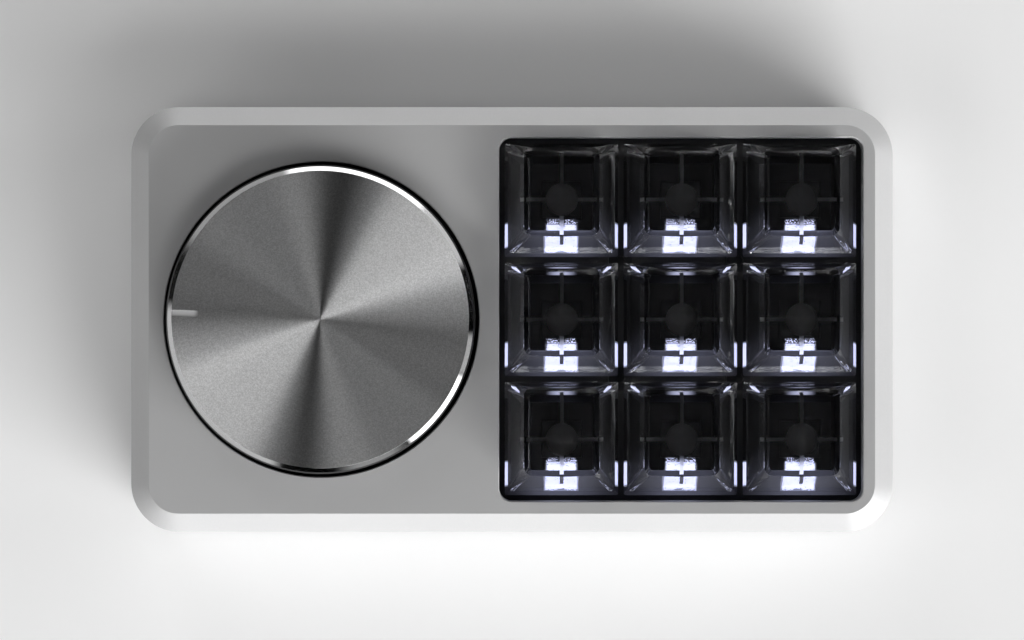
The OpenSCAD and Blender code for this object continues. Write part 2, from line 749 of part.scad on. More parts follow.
module board_screws() color([0.2, 0.2, 0.2])
    at(board_screw_places, board_top) pan_screw(board_screw_d, board_screw_head, board_top - floor_z);

module hotswap_sockets() color([0.1, 0.1, 0.1]) for (i = [1 : key_count]) translate(key_place(i)) {
    translate([0, 0, board_z - socket_t]) difference() {
        union() {
            translate([socket_x, socket_arm_y, 0]) cube([socket_arm_w, socket_y, socket_t]);
            translate([socket_x, socket_y, 0]) cube([socket_w, socket_d, socket_t]);
        }
        for (p = [pin_a, pin_b]) translate([p[0], p[1], -cut])
            cylinder(d = pin_d + fit_gap, h = socket_t + 2 * cut);
    }
}

module key_leds() color("white") for (i = [1 : key_count])
    translate(key_place(i) + [0, light_y, board_top]) centred_box(light_w, light_d, light_t);

module key_diodes() color([0.1, 0.1, 0.1]) for (i = [1 : key_count])
    translate(key_place(i) + [0, light_y - diode_step, board_z - diode_t])
        centred_box(diode_w, diode_d, diode_t);

module control_chips() color([0.07, 0.07, 0.07]) {
    translate([chip_x, 0, board_top]) centred_box(chip_w, chip_w, chip_t);
    translate([chip_x, crystal_y, board_top]) centred_box(crystal_w, crystal_d, crystal_t);
    translate([chip_x, regulator_y, board_top]) centred_box(regulator_w, regulator_d, regulator_t);
}

module usb_shell() color("silver") {
    end_r = usb_h / 2 - sheet;
    translate([knob_x, usb_front, port_z]) rotate([90, 0, 0]) difference() {
        rounded_slab(usb_w, usb_h, end_r, usb_d);
        translate([0, 0, -cut]) rounded_slab(
            usb_w - 2 * usb_wall, usb_h - 2 * usb_wall, end_r - usb_wall, usb_d - usb_wall + cut);
    }
}

module usb_tongue() color([0.05, 0.05, 0.05]) {
    back = usb_d - usb_wall - fit_gap;
    translate([knob_x, usb_front, port_z]) rotate([90, 0, 0]) {
        translate([-tongue_w / 2, -tongue_t / 2, tongue_inset])
            cube([tongue_w, tongue_t, back - tongue_inset]);
        translate([0, 0, back - usb_back_t])
            centred_box(usb_w - usb_h, usb_h - 2 * usb_wall - 2 * fit_gap, usb_back_t);
    }
}

// ---- encoder ----

function encoder_pin_places() = concat(
    [for (x = [-1, 0, 1]) [x * pin_spacing, -encoder_d / 2]],
    [for (x = [-1, 1]) [x * pin_spacing, encoder_d / 2]]
);

module encoder_base() color([0.08, 0.08, 0.08]) translate([knob_x, 0, board_top]) difference() {
    h = encoder_h - encoder_plate_t;
    centred_box(encoder_w, encoder_d, h);
    translate([0, 0, encoder_floor_t]) cylinder(d = rotor_d + 4 * fit_gap, h = h);
}

module encoder_bush() color("silver") translate([knob_x, 0, 0]) difference() {
    union() {
        translate([0, 0, mount_z - encoder_plate_t]) centred_box(encoder_w, encoder_d, encoder_plate_t);
        translate([0, 0, mount_z - cut]) cylinder(d = bush_d, h = bush_l + cut);
        for (s = [-1, 1]) translate([s * (encoder_w / 2 + lug_t / 2), 0, board_z - lug_showing])
            centred_box(lug_t, lug_w, mount_z - board_z + lug_showing);
    }
    cylinder(d = shaft_d + 2 * run_gap, h = knob_top);
}

module encoder_pins() color([0.8, 0.75, 0.6]) translate([knob_x, 0, 0])
    for (p = encoder_pin_places()) translate([p[0], p[1], 0]) {
        s = sign(p[1]);
        rise = board_top + pin_t + encoder_floor_t;
        translate([-pin_w / 2, s > 0 ? 0 : -pin_reach, rise - pin_t]) cube([pin_w, pin_reach, pin_t]);
        translate([-pin_w / 2, s > 0 ? pin_reach - pin_t : -pin_reach, board_z - pin_showing])
            cube([pin_w, pin_t, rise - board_z + pin_showing]);
    }

module encoder_washer() color("silver") translate([knob_x, 0, recess_z]) difference() {
    cylinder(d = nut_w + 2, h = washer_t);
    translate([0, 0, -cut]) cylinder(d = bush_d + 2 * fit_gap, h = washer_t + 2 * cut);
}

module encoder_nut() color("silver") translate([knob_x, 0, recess_z + washer_t]) difference() {
    cylinder(d = nut_w / cos(30), h = nut_t, $fn = 6);
    translate([0, 0, -cut]) cylinder(d = bush_d + fit_gap, h = nut_t + 2 * cut);
}

module encoder_dome() color([0.8, 0.75, 0.6]) translate([knob_x, 0, board_top + encoder_floor_t])
    rotate_extrude() polygon([[0, dome_rise - dome_t], [0, dome_rise], [dome_d / 4, dome_shoulder],
        [dome_d / 2, 0], [dome_d / 2 - 2 * dome_t, 0], [dome_d / 4, dome_shoulder - dome_t]]);

module encoder_rotor() color([0.9, 0.9, 0.85]) translate([knob_x, 0, rotor_z]) difference() {
    cylinder(d = rotor_d, h = rotor_t);
    translate([0, 0, -cut]) d_bar(spindle_d + 2 * run_gap, spindle_flat, rotor_t + 2 * cut);
    for (n = [1 : rotor_notches]) rotate([0, 0, 360 * n / rotor_notches]) translate([rotor_d / 2, 0, -cut])
        cylinder(d = rotor_notch_d, h = rotor_t + 2 * cut);
}

module encoder_shaft() color("silver") translate([knob_x, 0, 0]) {
    translate([0, 0, shaft_z]) d_bar(spindle_d, spindle_flat, spindle_top - shaft_z);
    translate([0, 0, spindle_top]) cylinder(d = shaft_d, h = bush_top - spindle_top);
    translate([0, 0, bush_top]) d_bar(shaft_d, flat_depth, shaft_top - bush_top);
}

// ---- knob ----

// Half of the knob's section, from the centre of the face round to the hollow's ceiling
function knob_section() = [
    [0, knob_top], [knob_d / 2 - knob_chamfer, knob_top], [knob_d / 2, knob_top - knob_chamfer],
    [knob_d / 2, knob_z + edge_break], [knob_d / 2 - edge_break, knob_z],
    [knob_d / 2 - knob_skirt, knob_z], [knob_d / 2 - knob_skirt, knob_ceiling],
    [knob_boss_d / 2, knob_ceiling], [knob_boss_d / 2, knob_boss_z],
    [insert_d / 2, knob_boss_z], [insert_d / 2, knob_ceiling], [0, knob_ceiling]
];

module knob_body() color([0.75, 0.75, 0.77]) translate([knob_x, 0, 0]) difference() {
    rotate_extrude() polygon(knob_section());
    rotate([0, 0, index_angle])
        translate([knob_d / 2 - knob_chamfer - index_l, -index_w / 2, knob_top - index_t])
            cube([index_l + knob_d, index_w, index_t + cut]);
}

module knob_insert() color([0.1, 0.1, 0.1]) translate([knob_x, 0, knob_boss_z]) difference() {
    cylinder(d = insert_d - run_gap, h = knob_ceiling - run_gap - knob_boss_z);
    translate([0, 0, -cut])
        d_bar(shaft_d + 2 * run_gap, flat_depth, shaft_top + run_gap - knob_boss_z + cut);
}

case_shell();
bottom_cover();
cover_screws();
rubber_feet();
for (i = [1 : key_count]) {
    keycap(i);
    switch_stem(i);
    switch_spring(i);
}
switch_covers();
switch_bases();
switch_contacts();
light_guides();
switch_plate();
plate_screws();
plate_spacers();
circuit_board();
board_screws();
hotswap_sockets();
key_leds();
key_diodes();
control_chips();
usb_shell();
usb_tongue();
encoder_base();
encoder_bush();
encoder_pins();
encoder_washer();
encoder_nut();
encoder_dome();
encoder_rotor();
encoder_shaft();
knob_body();
knob_insert();
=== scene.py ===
# Looks of the macro keypad: clear keycaps over lit switches beside a spun metal knob, in a blasted
# aluminium case. Laid out as a Blender add-on and run as a script on the keypad's CAD frame.

import math

import bmesh
import bpy
from bpy.props import FloatProperty, FloatVectorProperty, IntProperty, PointerProperty
from bpy.types import Operator, Panel, PropertyGroup
from mathutils import Matrix, Vector


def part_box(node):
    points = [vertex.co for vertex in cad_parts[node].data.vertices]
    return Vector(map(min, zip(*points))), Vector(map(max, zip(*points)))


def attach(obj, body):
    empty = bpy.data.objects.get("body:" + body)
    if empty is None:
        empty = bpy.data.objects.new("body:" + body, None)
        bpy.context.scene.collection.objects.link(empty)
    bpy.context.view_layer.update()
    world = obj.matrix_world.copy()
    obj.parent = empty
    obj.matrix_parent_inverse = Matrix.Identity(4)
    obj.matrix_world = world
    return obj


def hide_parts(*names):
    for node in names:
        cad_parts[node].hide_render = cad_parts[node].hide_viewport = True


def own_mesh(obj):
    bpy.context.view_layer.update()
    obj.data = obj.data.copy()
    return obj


bl_info = {
    "name": "Macro keypad",
    "version": (1, 0, 0),
    "blender": (4, 5, 0),
    "location": "View3D > Sidebar > Keypad",
    "description": "Dresses the CAD frame of a nine-key pad with one large knob",
    "category": "Object",
}

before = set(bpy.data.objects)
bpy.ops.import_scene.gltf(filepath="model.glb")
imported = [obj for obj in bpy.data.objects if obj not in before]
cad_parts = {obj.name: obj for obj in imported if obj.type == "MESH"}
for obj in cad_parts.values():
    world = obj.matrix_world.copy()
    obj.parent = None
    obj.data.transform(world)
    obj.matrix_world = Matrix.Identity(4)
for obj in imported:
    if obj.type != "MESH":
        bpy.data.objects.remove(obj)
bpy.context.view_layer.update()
MM = 0.001
TINY = 1e-6  # metres: two heights this near are the same
KEYS = range(1, 10)

# Places that the frame gives: the case, the knob and the nine keys
CASE_LO, CASE_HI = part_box("case_shell")
COVER_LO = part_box("bottom_cover")[0]
KNOB_LO, KNOB_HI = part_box("knob_body")
KNOB_AXIS = Vector(((KNOB_LO.x + KNOB_HI.x) / 2, (KNOB_LO.y + KNOB_HI.y) / 2, 0))
CAP_LO, CAP_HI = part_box("keycap_5")
STEM_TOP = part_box("switch_stem_5")[1].z
PLATE_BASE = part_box("switch_plate")[0].z
BUSH_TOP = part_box("encoder_bush")[1].z
PORT_LO, PORT_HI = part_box("usb_shell")
FEET_LO, FEET_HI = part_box("rubber_feet")
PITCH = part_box("keycap_6")[0].x - CAP_LO.x
CASE_TOP = CASE_HI.z
BASE_Z = CASE_LO.z


def key_centre(i):
    """The upright axis of a key, from its stem."""
    low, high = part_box(f"switch_stem_{i}")
    return Vector(((low.x + high.x) / 2, (low.y + high.y) / 2, 0))


def length(name, text, default, high=1.0):
    return FloatProperty(name=name, description=text, default=default, min=0.0, max=high,
                         subtype="DISTANCE", unit="LENGTH", precision=5)


def colour(name, text, default):
    return FloatVectorProperty(name=name, description=text, default=default, size=3,
                               min=0.0, max=1.0, subtype="COLOR")


def share(name, text, default, high=1.0):
    return FloatProperty(name=name, description=text, default=default, min=0.0, max=high,
                         subtype="FACTOR")


# ---- settings ----


class KeypadCaseSettings(PropertyGroup):
    corner_radius: length("Corner radius", "Radius of the case's upright corners", 7.7 * MM)
    top_chamfer: length("Top chamfer", "Width of the chamfer round the top", 3.0 * MM)
    base_chamfer: length("Base chamfer", "Width of the chamfer round the base", 0.8 * MM)
    wall: length("Wall", "Thickness of the side walls", 3.0 * MM)
    top_wall: length("Top wall", "Thickness of the top", 5.0 * MM)
    cover_lip: length("Cover lip", "Rim outside the bottom cover", 2.0 * MM)
    well_side: length("Key well", "Side of the square well round the keys", 57.99 * MM)
    well_radius: length("Well corner", "Corner radius of the key well", 2.0 * MM)
    well_break: length("Well edge", "Chamfer on the well's top edge", 0.12 * MM)
    recess_diameter: length("Knob recess", "Diameter of the knob's recess", 50.2 * MM)
    recess_break: length("Recess edge", "Chamfer on the recess's top edge", 0.15 * MM)
    recess_floor: length("Recess floor", "Height of the recess's floor", 16.5 * MM)
    soft_edge: length("Soft edge", "Width of the tumbled edges", 0.1 * MM)
    metal: colour("Metal", "Colour of the blasted aluminium", (0.47, 0.47, 0.473))
    metal_share: share("Metal share", "How much of the skin mirrors as bare metal", 0.35)
    roughness: share("Roughness", "Roughness of the blasted aluminium", 0.6)
    rubber: colour("Rubber", "Colour of the feet", (0.018, 0.018, 0.018))


class KeypadCapSettings(PropertyGroup):
    top_width: length("Top width", "Width of a cap's top face", 12.0 * MM)
    top_depth: length("Top depth", "Depth of a cap's top face", 13.8 * MM)
    rear_inset: length("Rear inset", "Distance of the top face from the rear edge", 0.85 * MM)
    wall: length("Wall", "Thickness of a cap's side walls", 1.2 * MM)
    roof: length("Roof", "Thickness of a cap's roof", 1.5 * MM)
    wall_growth: length("Wall growth", "How much thicker a side wall is at the roof", 0.15 * MM)
    corner: length("Corner", "Corner radius of a cap's top face", 1.25 * MM)
    base_corner: length("Base corner", "Corner radius at a cap's base", 0.35 * MM)
    soft_edge: length("Soft edge", "Width of the polished edges", 0.02 * MM)
    dish: length("Dish", "Depth of the dish across the top", 0.7 * MM)
    tube: length("Tube", "Outer diameter of the stem's tube", 5.2 * MM)
    rib: length("Rib", "Thickness of the ribs", 0.64 * MM)
    tint: colour("Tint", "Colour of the clear plastic", (0.97, 0.975, 1.0))
    glow: colour("Glow", "Colour of the key lights", (0.68, 0.71, 1.0))
    glow_strength: share("Glow strength", "Strength of the key lights", 3.0, high=100.0)
    # Sets the painted glow of the tabs under a cap's sides
    edge_strength: share("Edge strength", "Strength of the light in a cap's edge", 1.4, high=100.0)
    coil_turns: IntProperty(name="Coil turns", description="Turns of a key's spring",
                            default=7, min=3, max=12)


class KeypadDialSettings(PropertyGroup):
    chamfer: length("Chamfer", "Width of the polished chamfer", 0.95 * MM)
    dark_edge: length("Dark edge", "Width of the dark edge under the chamfer", 0.36 * MM)
    roof: length("Roof", "Thickness of the knob's roof", 2.5 * MM)
    skirt: length("Skirt", "Thickness of the knob's skirt", 2.2 * MM)
    boss: length("Boss", "Diameter of the knob's boss", 12.9 * MM)
    bore: length("Bore", "Diameter of the hole for the insert", 8.4 * MM)
    boss_height: length("Boss height", "Height of the boss's end", 20.5 * MM)
    slot_length: length("Slot length", "Length of the index slot", 4.1 * MM)
    slot_width: length("Slot width", "Width of the index slot", 1.1 * MM)
    slot_depth: length("Slot depth", "Depth of the index slot", 0.15 * MM)
    slot_angle: FloatProperty(name="Slot angle", description="Direction of the index slot",
                              default=math.radians(177.6), subtype="ANGLE", unit="ROTATION")
    face: colour("Face", "Colour of the spun face", (0.53, 0.53, 0.533))
    chamfer_metal: colour("Chamfer metal", "Colour of the bright chamfer", (0.5, 0.5, 0.503))
    # The side colour also paints the knob's recess dark, as shade
    side: colour("Side", "Colour of the knob's side and of its recess", (0.05, 0.05, 0.052))


class KeypadStageSettings(PropertyGroup):
    floor: colour("Floor", "Colour of the floor", (0.90, 0.90, 0.90))
    table: length("Table", "How far out the floor shows in polished metal", 0.36, high=5)
    camera_height: length("Camera height", "Height of the camera over the floor", 823 * MM, high=5)
    lens: FloatProperty(name="Lens", description="Focal length of the camera", default=176.6,
                        subtype="DISTANCE_CAMERA")
    key_light: share("Studio light", "Strength of all the softboxes", 1.0, high=10)
    backdrop: share("Backdrop", "Brightness of the room behind the table", 0.85, high=10)


# ---- modelling helpers ----


def deselect():
    if bpy.context.object and bpy.context.object.mode != "OBJECT":
        leave_edit()
    bpy.ops.object.select_all(action="DESELECT")


def leave_edit():
    bpy.ops.object.mode_set(mode="OBJECT")


def make_active(obj):
    deselect()
    obj.select_set(True)
    bpy.context.view_layer.objects.active = obj


def settle(obj):
    """Puts an object's place, turn and scale into its mesh."""
    make_active(obj)
    bpy.ops.object.transform_apply(location=True, rotation=True, scale=True)
    return obj


def put(obj, location, turn):
    """Turns an object, moves it to its place and settles it there."""
    obj.rotation_euler = turn
    obj.location = location
    return settle(obj)


def join(obj, *others):
    """Puts the others' meshes into obj."""
    make_active(obj)
    for other in others:
        other.select_set(True)
    bpy.ops.object.join()
    return obj


def call_it(name, obj=None):
    """Names an object, or the one that was made last, and its mesh."""
    obj = obj or bpy.context.object
    obj.name = obj.data.name = name
    return obj


def new_block(name, low, high):
    deselect()
    bpy.ops.mesh.primitive_cube_add(size=1, location=(Vector(low) + Vector(high)) / 2)
    obj = call_it(name)
    obj.scale = Vector(high) - Vector(low)
    return settle(obj)


def new_round(name, spot, radius, z0, z1, sides):
    deselect()
    bpy.ops.mesh.primitive_cylinder_add(vertices=sides, radius=radius, depth=z1 - z0,
                                        location=(spot[0], spot[1], (z0 + z1) / 2))
    return settle(call_it(name))


def pick(obj, kind, test):
    """Leaves obj in edit mode with the elements selected for which test is true."""
    make_active(obj)
    bpy.ops.object.mode_set(mode="EDIT")
    bpy.ops.mesh.select_mode(type=kind)
    bpy.ops.mesh.select_all(action="DESELECT")
    mesh = bmesh.from_edit_mesh(obj.data)
    for part in {"VERT": mesh.verts, "EDGE": mesh.edges, "FACE": mesh.faces}[kind]:
        if test(part):
            part.select_set(True)
    mesh.select_flush_mode()
    bmesh.update_edit_mesh(obj.data)


def bevel_edges(obj, test, offset, segments):
    pick(obj, "EDGE", test)
    bpy.ops.mesh.bevel(offset_type="OFFSET", offset=offset, segments=segments, profile=0.5,
                       affect="EDGES", clamp_overlap=True)
    leave_edit()


def extrude(move):
    bpy.ops.mesh.extrude_region_move(TRANSFORM_OT_translate={"value": move})


def face_outwards():
    """Turns all the faces of the mesh in edit mode outwards, and leaves edit mode."""
    bpy.ops.mesh.select_all(action="SELECT")
    bpy.ops.mesh.normals_make_consistent(inside=False)
    leave_edit()


def along(axis):
    """A test for the edges that run mostly along an axis: 0, 1 or 2."""
    def test(edge):
        run = edge.verts[1].co - edge.verts[0].co
        return abs(run[axis]) > 0.6 * run.length
    return test


def at_height(z):
    """A test for the edges that lie at a height."""
    return lambda edge: all(abs(v.co.z - z) < TINY for v in edge.verts)


def flare(obj, axis, rise, spread):
    """Extrudes the face at the far end of an axis outwards, and widens it."""
    far = max(v.co[axis] for v in obj.data.vertices)
    pick(obj, "FACE", lambda face: face.normal[axis] > 0.9
         and abs(face.calc_center_median()[axis] - far) < TINY)
    corners = [v.co for v in obj.data.vertices if abs(v.co[axis] - far) < TINY]
    low = Vector([min(c[k] for c in corners) for k in range(3)])
    high = Vector([max(c[k] for c in corners) for k in range(3)])
    move = Vector((0, 0, 0))
    move[axis] = rise
    extrude(move)
    size = [1 if k == axis else (high[k] - low[k] + 2 * spread) / (high[k] - low[k])
            for k in range(3)]
    bpy.ops.transform.resize(value=size, center_override=(low + high) / 2)
    leave_edit()


def modify(obj, kind, **settings):
    """Adds a modifier with its settings, and applies it."""
    make_active(obj)
    step = obj.modifiers.new(kind, kind)
    for key, value in settings.items():
        setattr(step, key, value)
    bpy.ops.object.modifier_apply(modifier=step.name)


def combine(obj, other, operation="DIFFERENCE"):
    """Cuts other from obj, or joins it on, and deletes other."""
    modify(obj, "BOOLEAN", object=other, operation=operation, solver="EXACT")
    bpy.data.objects.remove(other)


def soften(obj, width, segments=2, angle=35):
    """Breaks the sharp edges, as tumbling or polishing does."""
    modify(obj, "BEVEL", width=width, segments=segments, limit_method="ANGLE",
           angle_limit=math.radians(angle), miter_outer="MITER_ARC")


def shade(obj, angle=35, weighted=True):
    """Shades smooth up to an angle, with the normals of the larger faces kept."""
    make_active(obj)
    bpy.ops.object.shade_smooth_by_angle(angle=math.radians(angle))
    if weighted:
        modify(obj, "WEIGHTED_NORMAL", mode="FACE_AREA", weight=100, keep_sharp=True)


def copy_of(obj, name, move):
    """A copy with its own mesh, moved in its mesh."""
    twin = bpy.data.objects.new(name, obj.data.copy())
    twin.data.name = name
    twin.data.transform(Matrix.Translation(move))
    bpy.context.scene.collection.objects.link(twin)
    return twin


def finish_piece(obj, body, slot, nodes, *materials):
    """Gives a piece its finish and its body, and hides the CAD nodes it stands for."""
    obj.data.materials.clear()
    for material in materials:
        obj.data.materials.append(material)
    deselect()
    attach(obj, body)
    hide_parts(*nodes)


# ---- finishes ----


def shade_of(tone, factor):
    return tuple(min(1.0, c * factor) for c in tone)


class Nodes:
    """A material and a short way to add linked nodes to it."""

    def __init__(self, name):
        self.material = bpy.data.materials.get(name)
        self.fresh = self.material is None
        if self.fresh:
            self.material = bpy.data.materials.new(name)
            self.material.use_nodes = True
        self.tree = self.material.node_tree
        self.shader = self.tree.nodes.get("Principled BSDF")

    @classmethod
    def of_tree(cls, tree):
        """The same for a tree that isn't a material's, such as the world's."""
        m = cls.__new__(cls)
        m.tree = tree
        return m

    def add(self, kind, inputs=None, **settings):
        node = self.tree.nodes.new(kind)
        for key, value in settings.items():
            setattr(node, key, value)
        for key, value in (inputs or {}).items():
            self.feed(node.inputs[key], value)
        return node

    def feed(self, socket, value):
        """Links a socket, or sets its value."""
        if isinstance(value, bpy.types.NodeSocket):
            self.tree.links.new(value, socket)
        elif socket.type == "RGBA" and len(value) == 3:
            socket.default_value = (*value, 1)
        else:
            socket.default_value = value

    def set(self, **values):
        for key, value in values.items():
            self.feed(self.shader.inputs[key.replace("_", " ")], value)

    def place(self):
        return self.add("ShaderNodeTexCoord").outputs["Object"]

    def noise(self, scale, detail=2.0, place=None):
        return self.add("ShaderNodeTexNoise", {"Vector": place or self.place(), "Scale": scale,
                                               "Detail": detail}).outputs["Fac"]

    def spread(self, value, low, high, start=0.0, end=1.0, smooth=False):
        """Maps value from start..end to low..high."""
        node = self.add("ShaderNodeMapRange", {"Value": value, "From Min": start, "From Max": end,
                                               "To Min": low, "To Max": high})
        if smooth:
            node.interpolation_type = "SMOOTHSTEP"
        return node.outputs["Result"]

    def vary(self, noise, low, high):
        """Maps a noise, which mostly stays between 0.3 and 0.7, to low..high."""
        return self.spread(noise, low, high, 0.3, 0.7)

    def maths(self, operation, *values):
        return self.add("ShaderNodeMath", dict(enumerate(values)), operation=operation).outputs[0]

    def vector_maths(self, operation, *values):
        return self.add("ShaderNodeVectorMath", dict(enumerate(values)),
                        operation=operation).outputs

    def product(self, first, *others):
        for other in others:
            first = self.maths("MULTIPLY", first, other)
        return first

    def split(self, vector):
        return self.add("ShaderNodeSeparateXYZ", {0: vector}).outputs

    def tones(self, value, tone, dark, light=1.0, start=0.3, end=0.7):
        """A colour that goes from dark to light times itself as value goes from start to end."""
        return self.add("ShaderNodeMix", {0: self.spread(value, 0, 1, start, end),
                                          6: shade_of(tone, dark),
                                          7: shade_of(tone, light)},
                        data_type="RGBA").outputs[2]

    def bump(self, height, strength, distance):
        return self.add("ShaderNodeBump", {"Height": height, "Strength": strength,
                                           "Distance": distance}).outputs["Normal"]


def finish(fill):
    """Turns a function that fills a new material's nodes into one that gives the named material."""
    def give(name, *values, **settings):
        m = Nodes(name)
        if m.fresh:
            fill(m, *values, **settings)
        return m.material
    return give


@finish
def blasted_aluminium(m, metal, roughness, metallic=1.0):
    """Fine bead blasting under a clear anodised skin."""
    fine = m.noise(9000, 3.0)
    tone = m.product(m.vary(fine, 0.94, 1.05), m.vary(m.noise(60), 0.985, 1.015))
    m.set(Base_Color=m.tones(tone, metal, 0.9, 1.1, 0.9, 1.1), Metallic=metallic,
          Roughness=m.vary(fine, roughness - 0.05, roughness + 0.05),
          Normal=m.bump(fine, 0.25, 0.02 * MM))


@finish
def satin_metal(m, metal, roughness, scale=4000, metallic=1.0):
    """Plain or plated metal with a fine grain and faint wear."""
    fine = m.noise(scale, 3.0)
    m.set(Base_Color=m.tones(m.noise(220, 4.0), metal, 0.88, 1.06, 0.35, 0.65),
          Metallic=metallic, Roughness=m.vary(fine, roughness - 0.06, roughness + 0.08),
          Normal=m.bump(fine, 0.15, 0.02 * MM))


@finish
def moulded_plastic(m, base, roughness, scale=3000, specular=0.5):
    """Fine spark-eroded texture of a moulded part."""
    fine = m.noise(scale, 3.0)
    m.set(Base_Color=m.tones(m.noise(150), base, 0.85, 1.15),
          Roughness=m.vary(fine, roughness - 0.05, roughness + 0.08),
          Specular_IOR_Level=specular, Normal=m.bump(fine, 0.2, 0.03 * MM))


@finish
def spun_metal(m, metal, centre):
    """A face turned on a lathe: fine grooves round its centre, and a speckle of grain."""
    place = m.place()
    shifted = m.vector_maths("SUBTRACT", place, centre)[0]
    flat = m.vector_maths("MULTIPLY", shifted, (1, 1, 0))[0]
    radius = m.vector_maths("LENGTH", flat)["Value"]
    ring = m.add("ShaderNodeTexNoise", {"W": radius, "Scale": 9000, "Detail": 2.0},
                 noise_dimensions="1D").outputs["Fac"]
    tone = m.product(m.vary(ring, 0.95, 1.05), m.vary(m.noise(5200, 2.0, place), 0.80, 1.2))
    round_axis = m.add("ShaderNodeTangent", direction_type="RADIAL", axis="Z").outputs[0]
    m.set(Base_Color=m.tones(tone, metal, 0.75, 1.25, 0.75, 1.25), Metallic=1.0,
          Roughness=0.42, Anisotropic=1.0, Tangent=round_axis)


@finish
def bright_metal(m, metal):
    """A diamond-cut edge: near mirror, with faint tool lines."""
    lines = m.noise(2500)
    m.set(Base_Color=m.tones(lines, metal, 0.97), Metallic=1.0,
          Roughness=m.vary(lines, 0.04, 0.09))


@finish
def board_finish(m):
    """Dark green solder mask with faint copper runs under it."""
    place = m.place()
    runs = m.add("ShaderNodeTexBrick", {"Vector": place, "Scale": 260.0, "Mortar Size": 0.03,
                                        "Color1": (0.006, 0.030, 0.018),
                                        "Color2": (0.008, 0.036, 0.022),
                                        "Mortar": (0.020, 0.070, 0.040)}).outputs
    m.set(Base_Color=runs["Color"], Roughness=m.vary(m.noise(2500, 2.0, place), 0.28, 0.4),
          Normal=m.bump(runs["Fac"], 0.1, 0.03 * MM))


@finish
def lamp(m, glow, strength):
    """The face of a key's light."""
    m.set(Base_Color=(0.8, 0.82, 0.9), Emission_Color=glow,
          Emission_Strength=m.vary(m.noise(900, 1.0), strength * 0.8, strength * 1.2))


# Finishes with painted light in them: glows whose patterns are measured in millimetres from each
# key's own axis, and which stand in for the lamp's light as the clear parts carry it and as it
# falls on the housing.

CLEAR_IOR = 1.49
GUIDE_FRONT = 7.0  # from a key's axis forward to the middle of its light guide
WINDOW_TOP = (19.3, 19.5)  # heights between which the window's top begins


def key_local(m):
    """Object coordinates wrapped to the nearest key's own axis, in millimetres."""
    start = key_centre(5)
    half = PITCH / 2
    wrapped = m.vector_maths("WRAP", m.place(), (start.x + half, start.y + half, 1),
                             (start.x - half, start.y - half, -1))[0]
    local = m.vector_maths("ADD", wrapped, (-start.x, -start.y, 0))[0]
    return m.split(m.add("ShaderNodeVectorMath", {0: local, "Scale": 1 / MM},
                         operation="SCALE").outputs[0])


def speckle(m, place, start, end):
    """1 before start and 0 past end, with a scatter of fine grains between them."""
    part = m.spread(place, 0.70, 0.24, start, end)
    grains = m.spread(m.maths("SUBTRACT", part, m.noise(5200, 0.0)), 0, 1, -0.02, 0.1)
    return m.product(grains, m.spread(place, 1, 0, end - 0.1, end))


def window_grains(m, across, y):
    """The window's light, broken up into grains towards the rear, with a notch in its middle."""
    middle = m.spread(across, 0.5, 0, 0.2, 1.1, smooth=True)
    ends = m.spread(across, 0, 1.0, 2.4, 2.9, smooth=True)
    return speckle(m, m.maths("ADD", y, m.maths("ADD", middle, ends)), -4.45, -2.3)


@finish
def clear_plastic(m, tint, roughness=0.015):
    """Clear plastic with the faint waves of the mould, polished or matt."""
    wave = m.noise(90, 1.0)
    m.set(Base_Color=m.tones(wave, tint, 0.985), Roughness=roughness, IOR=CLEAR_IOR,
          Transmission_Weight=1.0, Normal=m.bump(wave, 0.02, 0.2 * MM))


@finish
def clear_sides(m, tint, glow, strength):
    """The outer sides of a clear cap, with a painted glow near the guide that stands in for the
    light they carry.
    """
    x, y, _ = key_local(m)
    ahead = m.maths("ADD", y, GUIDE_FRONT)
    off = m.maths("SQRT", m.maths("ADD", m.product(x, x), m.product(ahead, ahead)))
    m.set(Base_Color=tint, Roughness=0.015, IOR=CLEAR_IOR, Transmission_Weight=0.99,
          Normal=m.bump(m.noise(90, 1.0), 0.02, 0.2 * MM), Emission_Color=glow,
          Emission_Strength=m.spread(off, strength, 0, 2.5, 9.5, smooth=True))


@finish
def cap_rim(m, tint, glow, strength):
    """The open rim of a clear cap, with a painted glow along its rear that stands in for the light
    of the key behind, where there is one.
    """
    x, y, _ = key_local(m)
    row = m.spread(m.split(m.place())[1], 1, 0, PITCH * 0.9, PITCH * 1.1)
    bow = m.spread(m.maths("ABSOLUTE", x), 1, 0, 0.6, 2.9, smooth=True)
    rear = m.product(m.spread(y, 0, 1, 8.05, 8.25), m.spread(y, 1, 0, 8.65, 8.85))
    m.set(Base_Color=tint, Roughness=0.03, IOR=CLEAR_IOR, Transmission_Weight=1.0,
          Normal=m.bump(m.noise(6500, 1.0), 0.2, 0.05 * MM), Emission_Color=glow,
          Emission_Strength=m.product(rear, row, bow, strength))


@finish
def lit_edge(m, glow, strength):
    """The outer face of the tabs under a clear cap's sides, with a painted glow that fades at both
    ends and stands in for the light the side walls carry.
    """
    y = key_local(m)[1]
    run = m.product(m.spread(y, 0, 1, -7.6, -7.25, smooth=True),
                    m.spread(y, 1, 0, -3.95, -3.6, smooth=True))
    m.set(Base_Color=(0.5, 0.52, 0.6), Roughness=0.3, Emission_Color=glow,
          Emission_Strength=m.product(run, strength))


